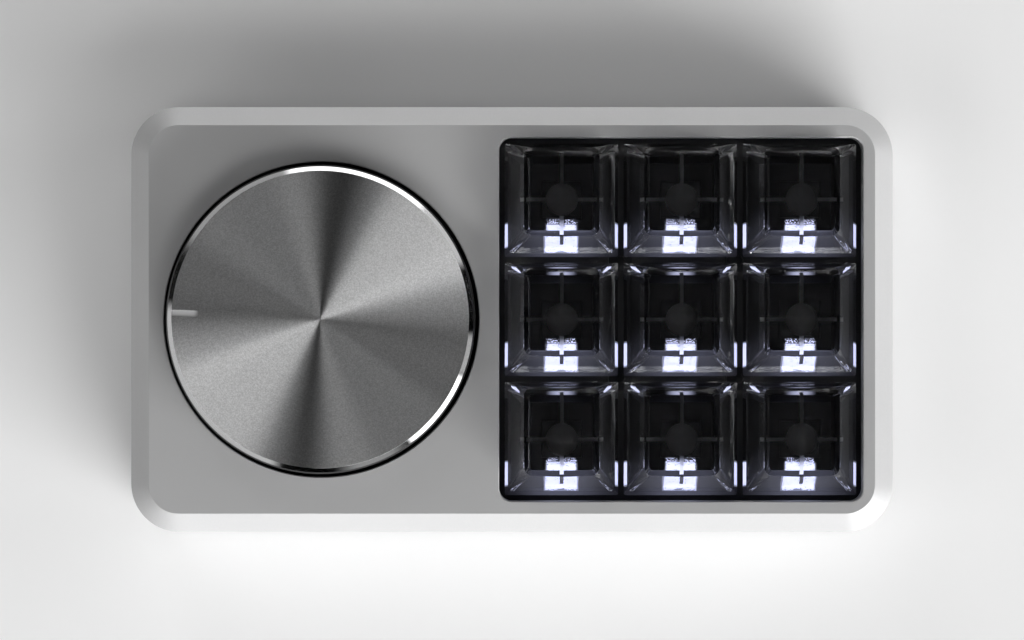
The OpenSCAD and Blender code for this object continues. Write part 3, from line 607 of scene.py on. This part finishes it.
@finish
def lit_guide(m, glow, strength):
    """The clear block over a key's light, with a painted glow that stands in for the light it
    carries: bright to its sides, and broken up at both ends.
    """
    x, y, z = key_local(m)
    across = m.maths("ABSOLUTE", x)
    sides = m.spread(across, 1, 0, 2.4, 2.81, smooth=True)
    notch = m.spread(across, 0.25, 0, 0.3, 1.0, smooth=True)
    front = speckle(m, m.maths("ADD", m.product(y, -1), notch), 7.3, 7.75)
    facing = m.split(m.add("ShaderNodeNewGeometry").outputs["Normal"])
    flank = m.spread(m.maths("ABSOLUTE", facing[0]), 0, 0.25, 0.8, 0.9)
    broken = m.maths("MAXIMUM", window_grains(m, across, y), m.spread(z, 1, 0, *WINDOW_TOP))
    lit = m.maths("MAXIMUM", m.product(sides, front, broken), flank)
    m.set(Base_Color=(0.5, 0.52, 0.6), Roughness=0.2, Emission_Color=glow,
          Emission_Strength=m.product(lit, strength))


@finish
def lit_housing(m, base, glow, strength):
    """The switch's black housing, with the light's spill behind its window painted on as a glow in
    fine grains.
    """
    x, y, z = key_local(m)
    fine = m.noise(3000, 3.0)
    across = m.maths("ABSOLUTE", x)
    window = m.product(m.spread(across, 1, 0, 2.8, 2.95), m.spread(z, 0, 1, *WINDOW_TOP))
    m.set(Base_Color=m.tones(fine, base, 0.8, 1.2), Roughness=m.vary(fine, 0.32, 0.45),
          Specular_IOR_Level=0.2, Normal=m.bump(fine, 0.15, 0.03 * MM), Emission_Color=glow,
          Emission_Strength=m.product(window_grains(m, across, y), window, strength))


def dress(names, material):
    """Gives CAD nodes a finish in place of their plain one."""
    for name in names:
        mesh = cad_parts[name].data
        mesh.materials.clear()
        mesh.materials.append(material)


# ---- pieces ----

# The case's inside
COVER_SEAT = 2.5 * MM  # height of the cover's seat
OVERLAP = 0.5 * MM
CUP_WALL, CUP_DEPTH = 2.2 * MM, 5.0 * MM  # the solid metal round and under the knob's recess
SCREW_INSET = 3.0 * MM  # from the edge of the screws' box to a screw's axis
LEFT_WEB = 9.45 * MM  # from the left column of keys to the screws beside it
BOSS_RADIUS, BOSS_GAP = 2.8 * MM, 0.3 * MM
SCREW_RADIUS, SCREW_DEPTH = 1.55 * MM, 5.6 * MM
BUSH_RADIUS = 3.6 * MM
PORT_HALF_WIDTH, PORT_HALF_HEIGHT, PORT_CORNER = 6.5 * MM, 3.2 * MM, 3.1 * MM
PORT_LIP, PORT_FLARE = 0.3 * MM, 0.6 * MM

# How near a face counts as lying on a plane, fine and coarse
NEAR, ABOUT = 0.01 * MM, 0.05 * MM


class KEYPAD_OT_case(Operator):
    """Models the aluminium case with its key well, knob recess, cable port and screw bosses"""
    bl_idname = "keypad.case"
    bl_label = "Case"

    def execute(self, context):
        s = context.scene.keypad_case
        case = new_block("case_body", CASE_LO, CASE_HI)
        bevel_edges(case, along(2), s.corner_radius, 20)
        bevel_edges(case, at_height(CASE_TOP), s.top_chamfer, 1)
        bevel_edges(case, at_height(BASE_Z), s.base_chamfer, 1)
        seat_z = COVER_LO.z + COVER_SEAT
        bosses = self.screw_spots()
        self.hollow_out(s, case, seat_z, bosses)
        self.cut_well(s, case)
        recess = new_round("recess", KNOB_AXIS, s.recess_diameter / 2, s.recess_floor,
                           CASE_TOP - s.recess_break, 192)
        flare(recess, 2, 2 * s.recess_break, 2 * s.recess_break)
        combine(case, recess)
        combine(case, new_round("bush_hole", KNOB_AXIS, BUSH_RADIUS,
                                BUSH_TOP - CUP_DEPTH - MM, s.recess_floor + MM, 48))
        for spot in bosses:
            combine(case, new_round("screw_hole", spot, SCREW_RADIUS, 0, seat_z + SCREW_DEPTH, 32))
        self.cut_port(s, case)
        soften(case, s.soft_edge)
        shade(case)
        finish_piece(case, "case", "case_aluminium", ["case_shell"],
                     blasted_aluminium("blasted_aluminium", s.metal, s.roughness, s.metal_share),
                     satin_metal("dark_recess", context.scene.keypad_dial.side, 0.5))
        # The recess's walls and floor are painted dark: painted shade that makes the gap round the
        # knob read black
        for face in case.data.polygons:
            spot = face.center - KNOB_AXIS
            if (math.hypot(spot.x, spot.y) < s.recess_diameter / 2 + 2 * NEAR
                    and s.recess_floor - ABOUT < spot.z < CASE_TOP - s.recess_break):
                face.material_index = 1
        return {"FINISHED"}

    def screw_spots(self):
        low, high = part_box("cover_screws")
        columns = (low.x + SCREW_INSET, key_centre(4).x - LEFT_WEB, high.x - SCREW_INSET)
        return [(x, y) for x in columns for y in (low.y + SCREW_INSET, high.y - SCREW_INSET)]

    def hollow_out(self, s, case, seat_z, bosses):
        """Cuts the room inside, round its screw bosses and the knob's cup, and the cover's seat."""
        under = CASE_TOP - s.top_wall
        room = self.inset_block(s, "room", s.wall, seat_z - OVERLAP, under, 12)
        combine(room, new_round("cup", KNOB_AXIS, s.recess_diameter / 2 + CUP_WALL,
                                BUSH_TOP - CUP_DEPTH, under + MM, 128))
        for spot in bosses:
            combine(room, new_round("boss", spot, BOSS_RADIUS, 0, PLATE_BASE - BOSS_GAP, 40))
        combine(case, room)
        combine(case, self.inset_block(s, "opening", s.cover_lip, BASE_Z - MM, seat_z, 16))

    def inset_block(self, s, name, inset, low, high, segments):
        """A block inside the case's outline, with rounded upright corners."""
        wall = Vector((inset, inset, 0))
        block = new_block(name, (CASE_LO + wall).xy.to_3d() + Vector((0, 0, low)),
                          (CASE_HI - wall).xy.to_3d() + Vector((0, 0, high)))
        bevel_edges(block, along(2), s.corner_radius - inset, segments)
        return block

    def cut_well(self, s, case):
        half = Vector((s.well_side / 2, s.well_side / 2, 0))
        middle = key_centre(5)
        well = new_block("well", middle - half + Vector((0, 0, CASE_TOP - s.top_wall - MM)),
                         middle + half + Vector((0, 0, CASE_TOP - s.well_break)))
        bevel_edges(well, along(2), s.well_radius, 12)
        flare(well, 2, 2 * s.well_break, 2 * s.well_break)
        combine(case, well)

    def cut_port(self, s, case):
        x, z = (PORT_LO.x + PORT_HI.x) / 2, (PORT_LO.z + PORT_HI.z) / 2
        port = new_block("port",
                         (x - PORT_HALF_WIDTH, CASE_HI.y - s.wall - MM, z - PORT_HALF_HEIGHT),
                         (x + PORT_HALF_WIDTH, CASE_HI.y - PORT_LIP, z + PORT_HALF_HEIGHT))
        bevel_edges(port, along(1), PORT_CORNER, 16)
        flare(port, 1, PORT_FLARE, PORT_FLARE)
        combine(case, port)


# A foot, its rounded edge, and the rim, slope and depth of the recess in its underside
FOOT_RADIUS, FOOT_EDGE = 5 * MM, 0.45 * MM
FOOT_RIM, FOOT_SLOPE, FOOT_RECESS = 1.1 * MM, 0.2 * MM, 0.15 * MM


class KEYPAD_OT_feet(Operator):
    """Models the four round rubber feet"""
    bl_idname = "keypad.feet"
    bl_label = "Feet"

    def execute(self, context):
        s = context.scene.keypad_case
        feet = []
        for x in (FEET_LO.x + FOOT_RADIUS, FEET_HI.x - FOOT_RADIUS):
            for y in (FEET_LO.y + FOOT_RADIUS, FEET_HI.y - FOOT_RADIUS):
                foot = new_round("foot", (x, y), FOOT_RADIUS, FEET_LO.z, FEET_HI.z, 64)
                bevel_edges(foot, at_height(FEET_LO.z), FOOT_EDGE, 4)
                pick(foot, "FACE", lambda face: face.normal.z < -0.999)
                bpy.ops.mesh.inset(thickness=FOOT_RIM, depth=0)
                bpy.ops.mesh.inset(thickness=FOOT_SLOPE, depth=-FOOT_RECESS)
                leave_edit()
                feet.append(foot)
        feet = call_it("round_feet", join(*feet))
        shade(feet, 30)
        finish_piece(feet, "case", "foot_rubber", ["rubber_feet"],
                     moulded_plastic("foot_rubber", s.rubber, 0.78, 1800, 0.3))
        return {"FINISHED"}


def tapered(name, centre, base, top, z0, z1, base_corner, corner, segments):
    """A block that tapers from a base to a top outline, each (left, right, front, rear)."""
    rims = []
    for (left, right, front, rear), z, rounding in ((base, z0, base_corner), (top, z1, corner)):
        deselect()
        bpy.ops.mesh.primitive_plane_add(
            size=1, location=centre + Vector(((left + right) / 2, (front + rear) / 2, z)))
        rim = bpy.context.object
        rim.scale = (right - left, rear - front, 1)
        settle(rim)
        pick(rim, "VERT", lambda vertex: True)
        bpy.ops.mesh.bevel(offset=rounding, segments=segments, affect="VERTICES")
        leave_edit()
        rims.append(rim)
    block = call_it(name, join(rims[1], rims[0]))
    pick(block, "FACE", lambda face: True)
    bpy.ops.mesh.delete(type="ONLY_FACE")
    bpy.ops.mesh.select_mode(type="EDGE")
    bpy.ops.mesh.select_all(action="SELECT")
    bpy.ops.mesh.bridge_edge_loops()
    for z in (z0, z1):
        leave_edit()
        pick(block, "EDGE", at_height(z))
        bpy.ops.mesh.edge_face_add()
    face_outwards()
    return block


# A cap's inner forms
CROSS_DEPTH = 3.6 * MM  # how far the stem's cross reaches into the cap
TUBE_LIFT, RIB_LIFT = 0.5 * MM, 4.3 * MM  # the tube's and the ribs' ends over the cross's foot
RIB_END = 1.4 * MM  # the outer end of the slanted ribs over the cap's rim
RIB_LAP = 0.3 * MM  # how far a rib reaches into the tube and into the roof
RIB_REACH, REAR_REACH, REAR_STEP = 5.9 * MM, 6.5 * MM, 1.9 * MM
CROSS, CROSS_ROOM = (4.1 * MM, 1.3 * MM), 0.1 * MM  # the cross, and the room over the stem's end
DISH_REACH, RIM_LAP = 20 * MM, 0.02 * MM  # how far the dish and the hollow are cut past the cap
# Thin tabs under a cap's side walls, which are no real part: their outer faces carry a painted glow
TAB_WIDTH, TAB_HEIGHT, TAB_FRONT, TAB_REAR = 0.1 * MM, 0.9 * MM, -7.7 * MM, -3.5 * MM
FRONT_END = -7.75 * MM  # in front of this the rim is painted dark as shade, though the cap is clear
SIDE_BAND = 4 * MM  # from a cap's edge inwards to where the finish with the painted glow of its sides ends
RIB_FACE = 6 * MM * MM  # square metres: the undersides of ribs are smaller than this
SHADE_STRIP = Vector((0.3 * MM, 1.5 * MM, 0.02 * MM))  # half the size of the dark strip in the front wall: painted shade in the glow seen through it
STRIP_DOWN, STRIP_IN = 0.98 * MM, 0.2 * MM

# The places of a cap's finishes in its list of materials
CLEAR, LIT_TAB, RIM, MATT_END, PAINTED_DARK, SIDE, SHADED_FRONT_RIM = range(7)


class KEYPAD_OT_caps(Operator):
    """Models one clear keycap with its tube and ribs, and copies it to the nine keys"""
    bl_idname = "keypad.caps"
    bl_label = "Clear caps"

    def execute(self, context):
        s = context.scene.keypad_caps
        centre = key_centre(5)
        half = (CAP_HI.x - CAP_LO.x) / 2
        z0, z1 = CAP_LO.z, CAP_HI.z
        rear = half - s.rear_inset
        base = (-half, half, -half, half)
        top = (-s.top_width / 2, s.top_width / 2, rear - s.top_depth, rear)
        ceiling = z1 - s.roof
        cross_foot = STEM_TOP - CROSS_DEPTH
        tube_z = cross_foot + TUBE_LIFT
        cap = tapered("clear_cap", centre, base, top, z0, z1, s.base_corner, s.corner, 8)
        radius = (s.top_width ** 2 / 4 + s.dish ** 2) / (2 * s.dish)
        dish = new_round("dish", (0, 0), radius, -DISH_REACH, DISH_REACH, 256)
        combine(cap, put(dish, (centre.x, centre.y, z1 - s.dish + radius), (math.pi / 2, 0, 0)))
        soften(cap, s.soft_edge, 2, 25)
        part = (ceiling - z0) / (z1 - z0)
        inner_base = tuple(v - math.copysign(s.wall, v) for v in base)
        inner_top = tuple(b + (t - b) * part - math.copysign(s.wall + s.wall_growth, b)
                          for b, t in zip(base, top))
        hollow = tapered("hollow", centre, inner_base, inner_top, z0 - RIM_LAP, ceiling,
                         s.base_corner, s.corner / 2, 6)
        core = new_round("tube", centre, s.tube / 2, tube_z, z1, 64)
        for turn in range(4):
            rib = self.rib(s, centre, half, cross_foot + RIB_LIFT, z0 + RIB_END,
                           ceiling + RIB_LAP, turn)
            combine(core, rib, "UNION")
        combine(hollow, core)
        combine(cap, hollow)
        for wide, deep in (CROSS, CROSS[::-1]):
            combine(cap, new_block("arm", (centre.x - wide / 2, centre.y - deep / 2, tube_z - MM),
                                   (centre.x + wide / 2, centre.y + deep / 2,
                                    STEM_TOP + CROSS_ROOM)))
        shade(cap, 30)
        # The rim's front part is split off to be painted dark as shade
        pick(cap, "FACE", lambda face: face.normal.z < -0.9
             and face.calc_center_median().z < z0 + ABOUT)
        bpy.ops.mesh.bisect(plane_co=centre + Vector((0, FRONT_END, z0)), plane_no=(0, 1, 0))
        leave_edit()
        # Two tabs, which carry the painted glow along the cap's sides
        inner = half - s.wall
        for low, high in ((-inner, TAB_WIDTH - inner), (inner - TAB_WIDTH, inner)):
            join(cap, new_block("tab", centre + Vector((low, TAB_FRONT, z0 - TAB_HEIGHT)),
                                centre + Vector((high, TAB_REAR, z0))))
        # A dark strip inside the clear front wall: painted shade that splits the glow seen through
        # the slope
        fall = math.atan2(z1 - z0, half + top[2])
        shade_strip_spot = Vector((0, top[2] - STRIP_DOWN, z1 - STRIP_DOWN * math.tan(fall)))
        shade_strip_spot += Vector((0, math.sin(fall), -math.cos(fall))) * STRIP_IN
        join(cap, put(new_block("strip", -SHADE_STRIP, SHADE_STRIP), centre + shade_strip_spot, (fall, 0, 0)))
        kinds = self.face_kinds(s, cap, centre, ceiling, tube_z, shade_strip_spot)
        finishes = (clear_plastic("clear_plastic", s.tint),
                    lit_edge("lit_edge", s.glow, s.edge_strength),
                    cap_rim("cap_rim", s.tint, s.glow, s.glow_strength * 0.2),
                    clear_plastic("matt_ends", shade_of(s.tint, 0.9), 0.35),
                    # Black for the backs of the glowing tabs and for the dark strip, whose darkness
                    # is painted shade
                    moulded_plastic("tab_black", (0.01, 0.01, 0.011), 0.5),
                    clear_sides("clear_sides", s.tint, s.glow, s.glow_strength * 0.022),
                    moulded_plastic("rim_black", (0.09, 0.09, 0.115), 0.8, specular=0.0))
        for i in KEYS:
            twin = copy_of(cap, f"clear_cap_{i}", key_centre(i) - centre)
            finish_piece(twin, f"key_{i}", "cap_clear", [f"keycap_{i}"], *finishes)
            twin.data.polygons.foreach_set("material_index", kinds)
        bpy.data.objects.remove(cap)
        return {"FINISHED"}

    def rib(self, s, centre, half, rib_z, low, high, turn):
        """An upright web from the tube to the wall, clear of the switch's housing: level at the
        front, stepped at the rear and slanted at the sides."""
        start, reach = s.tube / 2 - RIB_LAP, REAR_REACH if turn == 1 else RIB_REACH
        rib = new_block("rib", (start, -s.rib / 2, rib_z), (half, s.rib / 2, high))
        pick(rib, "FACE", lambda face: face.normal.x > 0.9)
        bpy.ops.transform.translate(value=(reach - half, 0, 0))
        extrude((half - reach, 0, 0))
        leave_edit()
        if turn == 1:
            pick(rib, "FACE", lambda face: face.normal.z < -0.9
                 and face.calc_center_median().x > reach)
            extrude((0, 0, -REAR_STEP))
        elif turn != 3:
            pick(rib, "EDGE", lambda edge: all(v.co.x > half - TINY and v.co.z < rib_z + TINY
                                               for v in edge.verts))
            bpy.ops.transform.translate(value=(0, 0, low - rib_z))
        leave_edit()
        return put(rib, centre, (0, 0, turn * math.pi / 2))

    def face_kinds(self, s, cap, centre, ceiling, tube_z, shade_strip_spot):
        """Which of the cap's finishes each of its faces has."""
        half, z0 = (CAP_HI.x - CAP_LO.x) / 2, CAP_LO.z
        kinds = []
        for face in cap.data.polygons:
            spot = face.center - centre
            width = max(abs(cap.data.vertices[v].co.x - centre.x) for v in face.vertices)
            down = face.normal.z < -0.9
            kind = CLEAR
            if down and abs(spot.z - z0) < ABOUT:
                kind = SHADED_FRONT_RIM if spot.y < FRONT_END else RIM
            elif spot.z < z0:
                kind = LIT_TAB if face.normal.x * spot.x > 0 else PAINTED_DARK
            elif (spot - shade_strip_spot).length < SHADE_STRIP.y * 1.04 and width < SHADE_STRIP.x + NEAR:
                kind = PAINTED_DARK
            elif down and abs(spot.z - tube_z) < ABOUT:
                kind = MATT_END
            elif (face.normal.z < -0.3 and face.area < RIB_FACE and spot.z < ceiling - ABOUT
                  and min(abs(spot.x), abs(spot.y)) < s.rib / 2):
                kind = MATT_END
            elif 0.2 < face.normal.z < 0.8 and abs(spot.y) + abs(spot.x) > half - SIDE_BAND:
                kind = SIDE
            kinds.append(kind)
        return kinds


WIRE_RADIUS = 0.25 * MM
COIL_STEPS = 24  # of each turn


class KEYPAD_OT_springs(Operator):
    """Winds the nine key springs"""
    bl_idname = "keypad.springs"
    bl_label = "Key springs"

    def execute(self, context):
        s = context.scene.keypad_caps
        low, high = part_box("switch_spring_5")
        radius = (high.y - low.y) / 2 - WIRE_RADIUS
        deselect()
        bpy.ops.mesh.primitive_circle_add(
            vertices=12, radius=WIRE_RADIUS, rotation=(math.pi / 2, 0, 0),
            location=(radius, 0, low.z + WIRE_RADIUS))
        coil = settle(call_it("coil"))
        steps = COIL_STEPS * s.coil_turns
        modify(coil, "SCREW", angle=math.tau * s.coil_turns, iterations=1, axis="Z",
               screw_offset=high.z - low.z - 2 * WIRE_RADIUS, steps=steps, render_steps=steps)
        pick(coil, "EDGE", lambda edge: edge.is_boundary)
        bpy.ops.mesh.edge_face_add()
        face_outwards()
        shade(coil, 40, weighted=False)
        steel = satin_metal("spring_steel", (0.56, 0.56, 0.57), 0.28)
        for i in KEYS:
            spot = key_centre(i)
            twin = copy_of(coil, f"key_coil_{i}", spot)
            finish_piece(twin, "case", "spring_steel", [f"switch_spring_{i}"], steel)
            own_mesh(twin)
        bpy.data.objects.remove(coil)
        return {"FINISHED"}


SKIRT_EDGE, DIAL_EDGE = 0.3 * MM, 0.04 * MM  # the chamfer round its skirt, and its broken edges

# The places of the knob's finishes in its list of materials
SPUN, BRIGHT, SATIN, SLOT = range(4)


class KEYPAD_OT_dial(Operator):
    """Turns the knob: a spun face, a bright chamfer, a milled index slot and a hollow underside"""
    bl_idname = "keypad.dial"
    bl_label = "Dial"

    def execute(self, context):
        s = context.scene.keypad_dial
        radius = (KNOB_HI.x - KNOB_LO.x) / 2
        top, low = KNOB_HI.z, KNOB_LO.z
        ceiling = top - s.roof
        face_edge = radius - s.chamfer
        dial = new_round("dial", KNOB_AXIS, radius, low, top, 256)
        bevel_edges(dial, at_height(top), s.chamfer, 1)
        bevel_edges(dial, at_height(top - s.chamfer), s.dark_edge, 1)
        bevel_edges(dial, at_height(low), SKIRT_EDGE, 1)
        cavity = new_round("cavity", KNOB_AXIS, radius - s.skirt, low - MM, ceiling, 192)
        combine(cavity, new_round("boss", KNOB_AXIS, s.boss / 2, s.boss_height, top, 96))
        combine(dial, cavity)
        combine(dial, new_round("bore", KNOB_AXIS, s.bore / 2, low, ceiling, 64))
        slot = new_block("slot", (face_edge - s.slot_length, -s.slot_width / 2, top - s.slot_depth),
                         (face_edge, s.slot_width / 2, top + MM))
        combine(dial, put(slot, KNOB_AXIS, (0, 0, s.slot_angle)))
        soften(dial, DIAL_EDGE, 1, 30)
        shade(dial, 20)
        case = context.scene.keypad_case
        finish_piece(dial, "knob", "knob_aluminium", ["knob_body"],
                     spun_metal("spun_face", s.face, KNOB_AXIS),
                     bright_metal("bright_chamfer", s.chamfer_metal),
                     satin_metal("satin_side", s.side, 0.3),
                     blasted_aluminium("slot_floor", shade_of(case.metal, 0.9), case.roughness,
                                       metallic=0.2))
        for face in dial.data.polygons:
            spot = face.center - KNOB_AXIS
            reach = math.hypot(spot.x, spot.y)
            upward = face.normal.z
            face.material_index = SATIN
            if upward > 0.99 and spot.z > top - NEAR:
                face.material_index = SPUN
            elif spot.z > top - s.chamfer - NEAR and reach > face_edge - 6 * NEAR and upward > 0.5:
                face.material_index = BRIGHT if upward < 0.99 else SLOT
            elif spot.z > top - s.chamfer and reach < face_edge:
                face.material_index = SLOT
        return {"FINISHED"}


class KEYPAD_OT_finishes(Operator):
    """Gives each CAD part that shows as it is its own finish"""
    bl_idname = "keypad.finishes"
    bl_label = "Part finishes"

    def execute(self, context):
        s = context.scene.keypad_caps
        dress(["switch_covers"],
              lit_housing("lit_housing", (0.006, 0.006, 0.007), s.glow, s.glow_strength * 0.5))
        dress(["switch_bases", "hotswap_sockets", "knob_insert"],
              moulded_plastic("black_moulding", (0.03, 0.03, 0.033), 0.42, specular=0.3))
        dress([f"switch_stem_{i}" for i in KEYS],
              moulded_plastic("stem_plastic", (0.009, 0.009, 0.01), 0.35, specular=0.25))
        dress(["light_guides"], lit_guide("lit_guide", s.glow, s.glow_strength * 0.55))
        dress(["key_leds"], lamp("lit_lamp", s.glow, s.glow_strength))
        dress(["switch_plate"], satin_metal("black_plate", (0.02, 0.02, 0.021), 0.42, 2500, 0.2))
        dress(["plate_screws", "board_screws"],
              satin_metal("black_screws", (0.03, 0.03, 0.032), 0.35))
        dress(["plate_spacers", "switch_contacts", "encoder_pins"],
              satin_metal("brass", (0.72, 0.52, 0.24), 0.25))
        dress(["circuit_board"], board_finish("solder_mask"))
        dress(["key_diodes", "control_chips", "usb_tongue", "encoder_base"],
              moulded_plastic("chip_black", (0.015, 0.015, 0.016), 0.5))
        dress(["usb_shell", "encoder_bush", "encoder_washer", "encoder_nut", "encoder_shaft",
               "encoder_dome"], satin_metal("plated_steel", (0.62, 0.62, 0.63), 0.22))
        dress(["encoder_rotor"], moulded_plastic("rotor_plastic", (0.6, 0.59, 0.55), 0.45))
        dress(["cover_screws"], satin_metal("screw_steel", (0.50, 0.50, 0.51), 0.28))
        dress(["bottom_cover"],
              blasted_aluminium("cover_anodised", (0.045, 0.045, 0.048), 0.5, 0.7))
        return {"FINISHED"}


# Softboxes: azimuth and half width, lower and upper edge and softness in degrees, and strength
SOFTBOXES = (
    ("south_east", 310, 25, 8, 20, 2, 27.5),
    ("south_east_high", 297, 32, 36, 53, 2, 3.6),
    ("south", 250, 9, 8, 21, 2, 6.7),
    ("west", 212, 30, 2.5, 20, 2, 1.7),
    ("west_high", 209, 27, 35, 53, 2, 2.4),
    ("north_east", 74, 27.5, 2.5, 8, 2, 13.2),
    ("east", 10, 9, 6, 28, 2, 3.2),
    ("north_high", 111, 9.5, 19, 34, 2, 4.7),
    ("east_slim", 341, 3, 19, 34, 1, 5.0),
    ("south_east_edge", 321, 16, -8, 3, 1.5, 4.0),
    ("east_south_edge", 346, 8, -8, 2, 2, 0.8),
    ("west_edge", 213, 38, -8, 2, 3, 0.88),
    ("north_edge", 126, 25, -8, 2, 6, 0.6),
    ("north_east_edge", 77, 27, -8, 3, 3, 3.0),
    ("east_edge", 36, 14, -8, 4, 3, 1.0),
    ("south_edge", 289, 11, -8, 2, 6, 0.6),
    ("overhead", 0, 200, 70, 96, 5, 0.02),
)
TABLE_FADE = 0.02  # metres over which the table's reflection ends
FLOOR_SIDE = 12  # metres
CAMERA_X, CAMERA_Y = 0.01 * MM, -0.09 * MM


class KEYPAD_OT_stage(Operator):
    """Lays the pale floor and sets the soft lights and the camera"""
    bl_idname = "keypad.stage"
    bl_label = "Stage"

    def execute(self, context):
        s = context.scene.keypad_stage
        self.lay_floor(s)
        self.surround(context, s)
        camera = bpy.data.cameras.new("camera")
        camera.lens = s.lens
        camera.sensor_width = 36
        viewer = bpy.data.objects.new("camera", camera)
        viewer.location = (CAMERA_X, CAMERA_Y, s.camera_height)
        context.scene.collection.objects.link(viewer)
        context.scene.camera = viewer
        context.scene.view_settings.view_transform = "Standard"
        return {"FINISHED"}

    def lay_floor(self, s):
        """A pale floor. Past the table's edge only the camera sees it, and no metal mirrors it."""
        deselect()
        bpy.ops.mesh.primitive_plane_add(size=FLOOR_SIDE, location=(0, 0, 0))
        floor = bpy.context.object
        floor.name = "floor"
        m = Nodes("pale_floor")
        m.set(Base_Color=m.tones(m.noise(40), s.floor, 0.995), Roughness=0.9,
              Specular_IOR_Level=0.1)
        reach = m.vector_maths("LENGTH", m.place())["Value"]
        near = m.spread(reach, 1, 0, s.table - TABLE_FADE, s.table)
        seen = m.add("ShaderNodeLightPath").outputs["Is Camera Ray"]
        kept = m.add("ShaderNodeMixShader", {0: m.maths("MAXIMUM", near, seen),
                                             1: m.add("ShaderNodeBsdfTransparent").outputs[0],
                                             2: m.shader.outputs[0]})
        m.feed(m.tree.nodes["Material Output"].inputs["Surface"], kept.outputs[0])
        floor.data.materials.append(m.material)

    def surround(self, context, s):
        """A dark studio with softboxes all round, low over the table."""
        world = bpy.data.worlds.new("studio")
        world.use_nodes = True
        m = Nodes.of_tree(world.node_tree)
        way = m.split(m.add("ShaderNodeTexCoord").outputs["Generated"])
        azimuth = m.product(m.maths("ARCTAN2", way[1], way[0]), math.degrees(1))
        elevation = m.product(m.maths("ARCSINE", way[2]), math.degrees(1))
        total = 0.0
        for _, turn, half, low, high, soft, strength in SOFTBOXES:
            off = m.maths("WRAP", m.maths("SUBTRACT", azimuth, turn), 180.0, -180.0)
            beside = m.spread(m.maths("ABSOLUTE", off), strength, 0, half - soft, half + soft,
                              smooth=True)
            over = m.spread(elevation, 0, 1, low - soft, low + soft, smooth=True)
            under = m.spread(elevation, 1, 0, high - soft, high + soft, smooth=True)
            total = m.maths("ADD", total, m.product(beside, over, under))
        seen = m.add("ShaderNodeLightPath").outputs["Is Camera Ray"]
        shown = m.add("ShaderNodeMix", {0: seen, 2: m.product(total, s.key_light), 3: s.backdrop},
                      data_type="FLOAT").outputs[0]
        back = world.node_tree.nodes["Background"]
        back.inputs["Color"].default_value = (1, 1, 1, 1)
        m.feed(back.inputs["Strength"], shown)
        context.scene.world = world


class KEYPAD_PT_panel(Panel):
    """Lists the keypad's pieces and their settings"""
    bl_idname = "KEYPAD_PT_panel"
    bl_label = "Macro keypad"
    bl_space_type = "VIEW_3D"
    bl_region_type = "UI"
    bl_category = "Keypad"

    def draw(self, context):
        for operator, group in STEPS:
            box = self.layout.box()
            box.operator(operator)
            settings = getattr(context.scene, group)
            for name in settings.__annotations__:
                box.prop(settings, name)


STEPS = (
    ("keypad.case", "keypad_case"),
    ("keypad.feet", "keypad_case"),
    ("keypad.caps", "keypad_caps"),
    ("keypad.springs", "keypad_caps"),
    ("keypad.dial", "keypad_dial"),
    ("keypad.finishes", "keypad_caps"),
    ("keypad.stage", "keypad_stage"),
)
GROUPS = {
    "keypad_case": KeypadCaseSettings,
    "keypad_caps": KeypadCapSettings,
    "keypad_dial": KeypadDialSettings,
    "keypad_stage": KeypadStageSettings,
}
CLASSES = (
    *GROUPS.values(),
    KEYPAD_OT_case,
    KEYPAD_OT_feet,
    KEYPAD_OT_caps,
    KEYPAD_OT_springs,
    KEYPAD_OT_dial,
    KEYPAD_OT_finishes,
    KEYPAD_OT_stage,
    KEYPAD_PT_panel,
)


def register():
    for cls in CLASSES:
        bpy.utils.register_class(cls)
    for name, group in GROUPS.items():
        setattr(bpy.types.Scene, name, PointerProperty(type=group))


def unregister():
    for name in GROUPS:
        delattr(bpy.types.Scene, name)
    for cls in reversed(CLASSES):
        bpy.utils.unregister_class(cls)


def main():
    register()
    for operator, _ in STEPS:
        module, name = operator.split(".")
        getattr(getattr(bpy.ops, module), name)()
    deselect()


if __name__ == "__main__":
    main()
